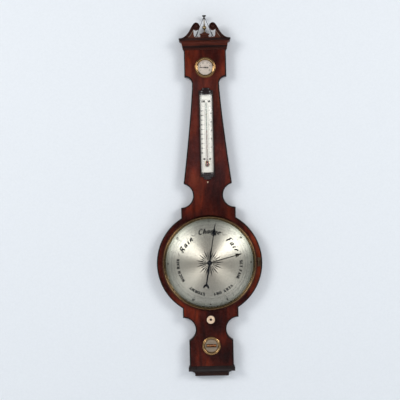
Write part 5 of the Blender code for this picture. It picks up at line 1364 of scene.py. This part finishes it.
nn = 24
outer = [(18.0 * math.cos(math.pi * i / nn), -36.3 - 7.35 * math.sin(math.pi * i / nn)) for i in range(nn + 1)]
inner = [(16.6 * math.cos(math.pi * i / nn), -36.3 - 5.95 * math.sin(math.pi * i / nn)) for i in range(nn, -1, -1)]
loop = outer + inner
k = len(loop)
tr_ = triangulate([loop])
s = Soup()
s.add([(x, y, 262.9) for x, y in loop] + [(x, y, 488.1) for x, y in loop], [(i, (i + 1) % k, k + (i + 1) % k, k + i) for i in range(k)] + [tuple(t) for t in tr_] + [tuple(k + i for i in reversed(t)) for t in tr_])
s.make("thermometer_cover", M_GLASS, slot="glass", replaces=("thermometer_glass",))

s = Soup()
pl = [(-17.95, 262.65), (17.95, 262.65), (17.95, 488.35), (-17.95, 488.35)]
s.prism([pl], -32.7, -31.8)
s.make("thermometer_plate", M_PLATE, slot="silvered_brass", replaces=("thermometer_scale",), uv=True)
s = Soup()
y0, y1 = -32.78, -32.69


def bar(s, x0, x1, z0, z1):
    s.prism([[(x0, z0), (x1, z0), (x1, z1), (x0, z1)]], y0, y1)


def t_z(deg_f):
    return 306.0 + (deg_f - 10) * 1.36


for sgn in (-1, 1):
    bar(s, *sorted((sgn * 4.8, sgn * 5.02)), 308.0, 463.0)
    for f in range(12, 121, 2):
        ln = 6.4 if f % 10 == 0 else 3.4
        bar(s, *sorted((sgn * 5.0, sgn * (5.0 + ln * (0.75 if f % 10 else 1)))), t_z(f) - (0.24 if f % 10 == 0 else 0.13), t_z(f) + (0.24 if f % 10 == 0 else 0.13))
for f in range(20, 111, 10):
    lay_text(s, str(f), 3.4, flat_at(-14.2, t_z(f) - 1.7), thin=0.12, thick=0.28, y0=y0, y1=y1, spacing=0.14)
c_ = 0
for f, cel in ((32, 0), (50, 10), (68, 20), (86, 30), (104, 40)):
    lay_text(s, str(abs(cel)), 3.4, flat_at(14.0, t_z(f) - 1.7), thin=0.12, thick=0.28, y0=y0, y1=y1, spacing=0.14)
bar(s, -13.0, 13.0, 474.6, 475.0)
for x, top, low in ((-8.2, "120", "10"), (8.2, "50", "12")):
    lay_text(s, top, 5.0, flat_at(x, 466.6), thin=0.20, thick=0.42, y0=y0, y1=y1, spacing=0.16)
    lay_text(s, low, 4.6, flat_at(x, 299.6), thin=0.20, thick=0.42, y0=y0, y1=y1, spacing=0.16)
bar(s, -13.0, 13.0, 294.6, 294.9)
s.make("thermometer_marks", M_WAX, slot="silvered_brass")

TB = 287.5
BL = 2.15                          # the bulb is longer than it is wide
tp = [(0, TB - 4.3 * BL)] + [(4.3 * math.sin(math.radians(a)), TB - 4.3 * BL * math.cos(math.radians(a))) for a in range(15, 151, 15)] \
    + [(1.85, TB + 9.4), (1.7, TB + 10.6), (1.7, 464.4), (1.3, 465.6), (0.9, 466.0), (0.9, TB + 9.6)] \
    + [(3.5 * math.sin(math.radians(a)), TB - 3.6 * BL * math.cos(math.radians(a))) for a in range(160, 14, -15)] + [(0, TB - 3.6 * BL)]
solid_lathe("thermometer_stem", tp, (0, -37.2, 0), 24, M_TUBEGLASS, axis="Z", closed=False, slot="glass", replaces=("thermometer_tube",))
sp_ = [(0, TB - 3.2 * BL)] + [(3.1 * math.sin(math.radians(a)), TB - 3.2 * BL * math.cos(math.radians(a))) for a in range(20, 161, 20)] + [(0.6, TB + 7.6), (0.6, 383.6), (0.4, 384.2), (0, 384.4)]
solid_lathe("thermometer_liquid", sp_, (0, -37.2, 0), 16, M_SPIRIT, axis="Z", closed=False, slot="spirit", replaces=("thermometer_spirit",))
# brass guard over the bulb, and two small straps that hold the stem
s = Soup()
g = [(x, -35.6, TB + (z - TB) * 1.55) for x, z in arc(0, TB, 6.2, -60, 240, 24)]
s.tube(g, 0.7, 8)
for z in (330.0, 430.0):
    s.tube([(2.3 * math.cos(a), -37.2 - 2.3 * math.sin(a), z) for a in [math.pi * i / 10 for i in range(11)]], 0.35, 6)
    for sg in (-1, 1):
        s.tube([(sg * 2.3, -37.2, z), (sg * 2.3, -33.2, z)], 0.35, 6)
s.make("bulb_guard", M_BRASS_HI, slot="brass")
# small inlaid arrow-shaped stud under the box
s = Soup()
tri = [(-2.6, 236.4), (2.6, 236.4), (0, 230.8)]
verts = [(x, -31.5, z) for x, z in tri] + [(x * 0.75, -32.3, 234.5 + (z - 234.5) * 0.75) for x, z in tri]
s.add(verts, [(2, 1, 0), (3, 4, 5)] + [(i, (i + 1) % 3, 3 + (i + 1) % 3, 3 + i) for i in range(3)])
s.make("inlaid_stud", M_BONE, slot="bone")

# =================================================================== spirit level
lb = [(18.6, -31.8), (26.6, -31.8), (26.6, -32.6)] + bead(24.9, -33.6, 1.7, 10, -120, 9) + [(23.6, -35.4)] + bead(22.4, -35.0, 1.3, -40, -170, 8) + [(20.6, -34.2), (19.6, -33.6), (18.8, -33.0)]
solid_lathe("level_ring", lb, (0, 0, Z_LV), 96, M_RING[1], slot="brass", replaces=("level_bezel",), angle=50)
s = Soup()
slot_ = [(-14.2, Z_LV - 4.4), (14.2, Z_LV - 4.4), (14.2, Z_LV + 4.4), (-14.2, Z_LV + 4.4)]
s.prism([circle(0, Z_LV, 20.1, 72), slot_], -31.5, -30.3)
s.make("level_face", M_LEVELPLATE, slot="silvered_brass", replaces=("level_plate",))
s = Soup()
fr = [[(-15.2, Z_LV - 5.4), (15.2, Z_LV - 5.4), (15.2, Z_LV + 5.4), (-15.2, Z_LV + 5.4)], [(-14.6, Z_LV - 4.8), (14.6, Z_LV - 4.8), (14.6, Z_LV + 4.8), (-14.6, Z_LV + 4.8)]]
s.prism(fr, -31.58, -31.49)
ring_line(s, 0, Z_LV, 17.6, 0.22, y0=-31.58, y1=-31.49, seg=72)
for zz in (9.0, -9.0):
    for i in range(-4, 5):
        s.prism([[(i * 2.2 - 0.55, Z_LV + zz), (i * 2.2, Z_LV + zz - 0.9), (i * 2.2 + 0.55, Z_LV + zz), (i * 2.2, Z_LV + zz + 0.9)]], -31.58, -31.49)
s.make("level_marks", M_WAX, slot="silvered_brass")
s = Soup()


def lathe_x(s, profile, cy, cz, seg):
    rows, verts, faces = [], [], []
    for r, x in profile:
        row = []
        for k in range(1 if r < 1e-9 else seg):
            a = 2 * math.pi * k / seg
            verts.append((x, cy + r * math.cos(a), cz + r * math.sin(a)))
            row.append(len(verts) - 1)
        rows.append(row)
    for a, b in zip(rows, rows[1:]):
        for k in range(seg):
            k2 = (k + 1) % seg
            q = [a[k % len(a)], a[k2 % len(a)], b[k2 % len(b)], b[k % len(b)]]
            q = [v for i, v in enumerate(q) if v not in q[:i]]
            if len(q) > 2:
                faces.append(tuple(q))
    s.add(verts, faces)


lathe_x(s, [(0, -18.9), (3.0, -18.9), (4.0, -18.4), (4.0, 18.4), (3.0, 18.9), (0, 18.9)], -25.6, Z_LV, 32)
s.make("level_tube", M_TUBEGLASS, slot="glass", replaces=("level_vial",))
s = Soup()
lathe_x(s, [(0, -18.0), (2.2, -17.8), (2.9, -17.0), (2.9, 17.0), (2.2, 17.8), (0, 18.0)], -25.6, Z_LV, 28)
s.make("level_liquid", M_LEVEL, slot="spirit", replaces=("level_spirit",))
s = Soup()
lathe_x(s, [(0, -5.2), (0.7, -4.8), (1.1, -3.8), (1.2, 0), (1.1, 3.8), (0.7, 4.8), (0, 5.2)], -28.2, Z_LV + 1.1, 20)
s.make("level_bubble", M_TUBEGLASS, slot="glass")
s = Soup()
for x in (-6.2, 6.2):
    s.tube([(x, -25.6 - 4.1 * math.cos(a), Z_LV + 4.1 * math.sin(a)) for a in [math.radians(-100 + 200 * i / 16) for i in range(17)]], 0.22, 6)
s.make("level_lines", M_WAX, slot="brass")

# =================================================================== threads, pulley turns and mercury
SX, TY, LX = 7.04, -13.6, 27.5
s = Soup()
s.tube([(SX, TY, -0.2 - 169.9 * i / 20) for i in range(21)], 0.25, 8)
ft = s.make("float_cord", M_SILK, None, slot="silk", replaces=("float_thread",))
tuple(P(SX, TY, -0.2))
tuple(P(SX, TY, -169.0))
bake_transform(ft)
s = Soup()
s.tube([(-SX, TY - 2.6, -0.2 - 59.3 * i / 12) for i in range(13)], 0.25, 8)
ct = s.make("counter_cord", M_SILK, None, slot="silk", replaces=("counter_thread",))
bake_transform(ct)
s = Soup()
for yy in (TY, TY - 2.6):
    s.tube([(6.96 * math.cos(a), yy, 6.96 * math.sin(a)) for a in [2 * math.pi * i / 48 for i in range(48)] + [0.0]], 0.22, 6, caps=False)
s.make("pulley_turns", M_SILK, "pointer", slot="silk")
MR = 2.9
mid, br = (SX + LX) / 2, (LX - SX) / 2
s = Soup()
s.tube([(SX, TY, -240.0 + 44.3 * i / 16) for i in range(17)] + [(SX, TY, -195.2), (SX, TY, -195.0)], [MR] * 17 + [2.6, 1.5], 20)
m1 = s.make("mercury_short", M_MERC, None, slot="mercury", replaces=("mercury",))
tuple(P(SX, TY, -239.0))
tuple(P(SX, TY, -199.0))
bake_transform(m1)
s = Soup()
s.tube([(mid + br * math.cos(a), TY, -240.0 + br * math.sin(a)) for a in [math.pi + math.pi * i / 28 for i in range(29)]], MR, 20)
s.make("mercury_bend", M_MERC, slot="mercury")
s = Soup()
zt = -195.0 + 29.59 * 25.4
s.tube([(LX, TY, -240.0 + (zt - 0.4 + 240.0) * i / 40) for i in range(41)] + [(LX, TY, zt - 0.1), (LX, TY, zt)], [MR] * 41 + [2.5, 1.2], 20)
m3 = s.make("mercury_long", M_MERC, None, slot="mercury")
tuple(P(LX, TY, -238.0))
tuple(P(LX, TY, 300.0))
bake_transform(m3)

# =================================================================== CAD nodes that stay: better materials
KEEP = {
    M_BRASS_DULL: ("arbor_bridge", "hinge_lower_case_leaf", "hinge_upper_case_leaf", "hinge_lower_door_leaf", "hinge_upper_door_leaf", "turn_button", "turn_button_screw",
                   "tube_clip", "rod_guide", "setting_arbor", "set_hand_wheel", "thread_pulley"),
    M_BRASS_DARK: ("bezel_hinge_leaf",),
    M_STEEL: ("screw_eye_left", "screw_eye_right", "setting_rod", "hand_arbor"),
    M_TUBEGLASS: ("siphon_tube", "float_weight", "counterweight"),
    M_PINE: ("back_door",),
    M_OAT: ("oat_beard",),
}
for mat, names in KEEP.items():
    for nm in names:
        ob = NODES[nm]
        ob.data.materials.clear()
        ob.data.materials.append(mat)

# =================================================================== stage: wall, floor, nail, lights


def stage_mesh(name, verts, faces, mat):
    me = bpy.data.meshes.new(name)
    me.from_pydata([P(*v) for v in verts], [], faces)
    me.materials.append(mat)
    ob = bpy.data.objects.new(name, me)
    bpy.context.scene.collection.objects.link(ob)
    return ob


n = Nodes("wall_paint")
f = n.noise(n.obj(), 180.0, 5.0, 0.6)
n.set(color=n.ramp(f, [(0.3, (0.81, 0.835, 0.855)), (0.7, (0.84, 0.865, 0.885))]), rough=0.9, spec=0.1)
n.bump(f, 0.04, 0.0003)
geo = n.node("ShaderNodeNewGeometry")
lp = n.node("ShaderNodeLightPath")
tr = n.node("ShaderNodeBsdfTransparent")
mx = n.node("ShaderNodeMixShader")
near = n.math("MULTIPLY", n.math("LESS_THAN", lp.outputs["Ray Length"], 0.035), n.math("SUBTRACT", 1.0, lp.outputs["Is Camera Ray"]))
see = n.math("MAXIMUM", geo.outputs["Backfacing"], near)
n.link(see, mx.inputs[0])
n.link(n.b.outputs[0], mx.inputs[1])
n.link(tr.outputs[0], mx.inputs[2])
n.link(mx.outputs[0], n.out.inputs["Surface"])
M_WALL = n.m
stage_mesh("wall", [(-4000, 1.6, -760), (4000, 1.6, -760), (4000, 1.6, 3600), (-4000, 1.6, 3600)], [(0, 1, 2, 3)], M_WALL)
n = Nodes("floor_paint")
f = n.noise(n.obj(), 30.0, 4.0, 0.5)
n.set(color=n.ramp(f, [(0.3, (0.74, 0.75, 0.77)), (0.7, (0.79, 0.80, 0.82))]), rough=0.85, spec=0.15)
stage_mesh("floor", [(-6000, -6500, -760), (6000, -6500, -760), (6000, 6500, -760), (-6000, 6500, -760)], [(0, 1, 2, 3)], n.m)

s = Soup()
s.lathe([(0, -17.6), (2.0, -17.2), (2.3, -16.2), (2.0, -15.4), (2.0, 1.0), (0, 1.0)], (0, 0, HANG - 1.6 - 2.0 - 0.1), 24, "Y", False)
s.prism([[(-1.9, HANG - 5.0), (1.9, HANG - 5.0), (2.2, HANG + 1.0), (5.2, HANG + 1.6), (5.6, HANG + 3.4), (5.0, HANG + 5.4), (-5.0, HANG + 5.4), (-5.6, HANG + 3.4), (-5.2, HANG + 1.6), (-2.2, HANG + 1.0)]], -16.6, -15.0)
ob = stage_mesh("wall_hook", s.v, s.f, M_BRONZE)


def area_light(name, at, aim, size, power, colour=(1, 1, 1)):
    ld = bpy.data.lights.new(name, "AREA")
    ld.shape = "DISK"
    ld.size = size
    ld.energy = power
    ld.color = colour
    ob = bpy.data.objects.new(name, ld)
    bpy.context.scene.collection.objects.link(ob)
    ob.location = P(*at)
    d = (P(*aim) - ob.location).normalized()
    ob.rotation_euler = d.to_track_quat("-Z", "Y").to_euler()
    return ob


# lamps that reach only some pieces: two for the spun dial's highlights, one that lifts the pale plates
def only(lamp, names):
    col = bpy.data.collections.new(lamp.name + "_reach")
    for ob in PIECES:
        if ob.name in names:
            col.objects.link(ob)
    lamp.light_linking.receiver_collection = col


def without(lamp, names):
    only(lamp, names)
    for entry in lamp.light_linking.receiver_collection.collection_objects:
        entry.light_linking.link_state = "EXCLUDE"


only(area_light("lamp_left", (-116, -2967, -29), (0, 0, 120), 0.12, 0.46, (0.90, 0.95, 1.0)), ("dial",))
only(area_light("lamp_right", (160, -2967, -19), (0, 0, 120), 0.12, 0.55, (0.90, 0.95, 1.0)), ("dial",))
only(area_light("plate_lamp", (60, -2967, 420), (0, 0, 300), 0.6, 19), ("thermometer_plate",))
only(area_light("small_lamp", (60, -2967, 420), (0, 0, 300), 0.6, 13), ("hygro_dial", "knob"))
without(area_light("soft_left", (-2300, -2600, 1400), (0, 0, 150), 1.6, 48, (1.0, 0.995, 0.99)), ("dial",))
without(area_light("soft_right", (2300, -2600, 1200), (0, 0, 150), 1.6, 43, (1.0, 0.995, 0.99)), ("dial",))
world = bpy.data.worlds.new("world") if bpy.context.scene.world is None else bpy.context.scene.world
bpy.context.scene.world = world
world.use_nodes = True
bg = world.node_tree.nodes["Background"]
bg.inputs[0].default_value = (0.86, 0.92, 1.0, 1)
wlp = world.node_tree.nodes.new("ShaderNodeLightPath")
wmix = world.node_tree.nodes.new("ShaderNodeMapRange")
wmix.inputs["To Min"].default_value = 0.46
wmix.inputs["To Max"].default_value = 0.20
world.node_tree.links.new(wlp.outputs["Is Glossy Ray"], wmix.inputs["Value"])
world.node_tree.links.new(wmix.outputs["Result"], bg.inputs[1])
bpy.context.scene.view_settings.view_transform = "Standard"
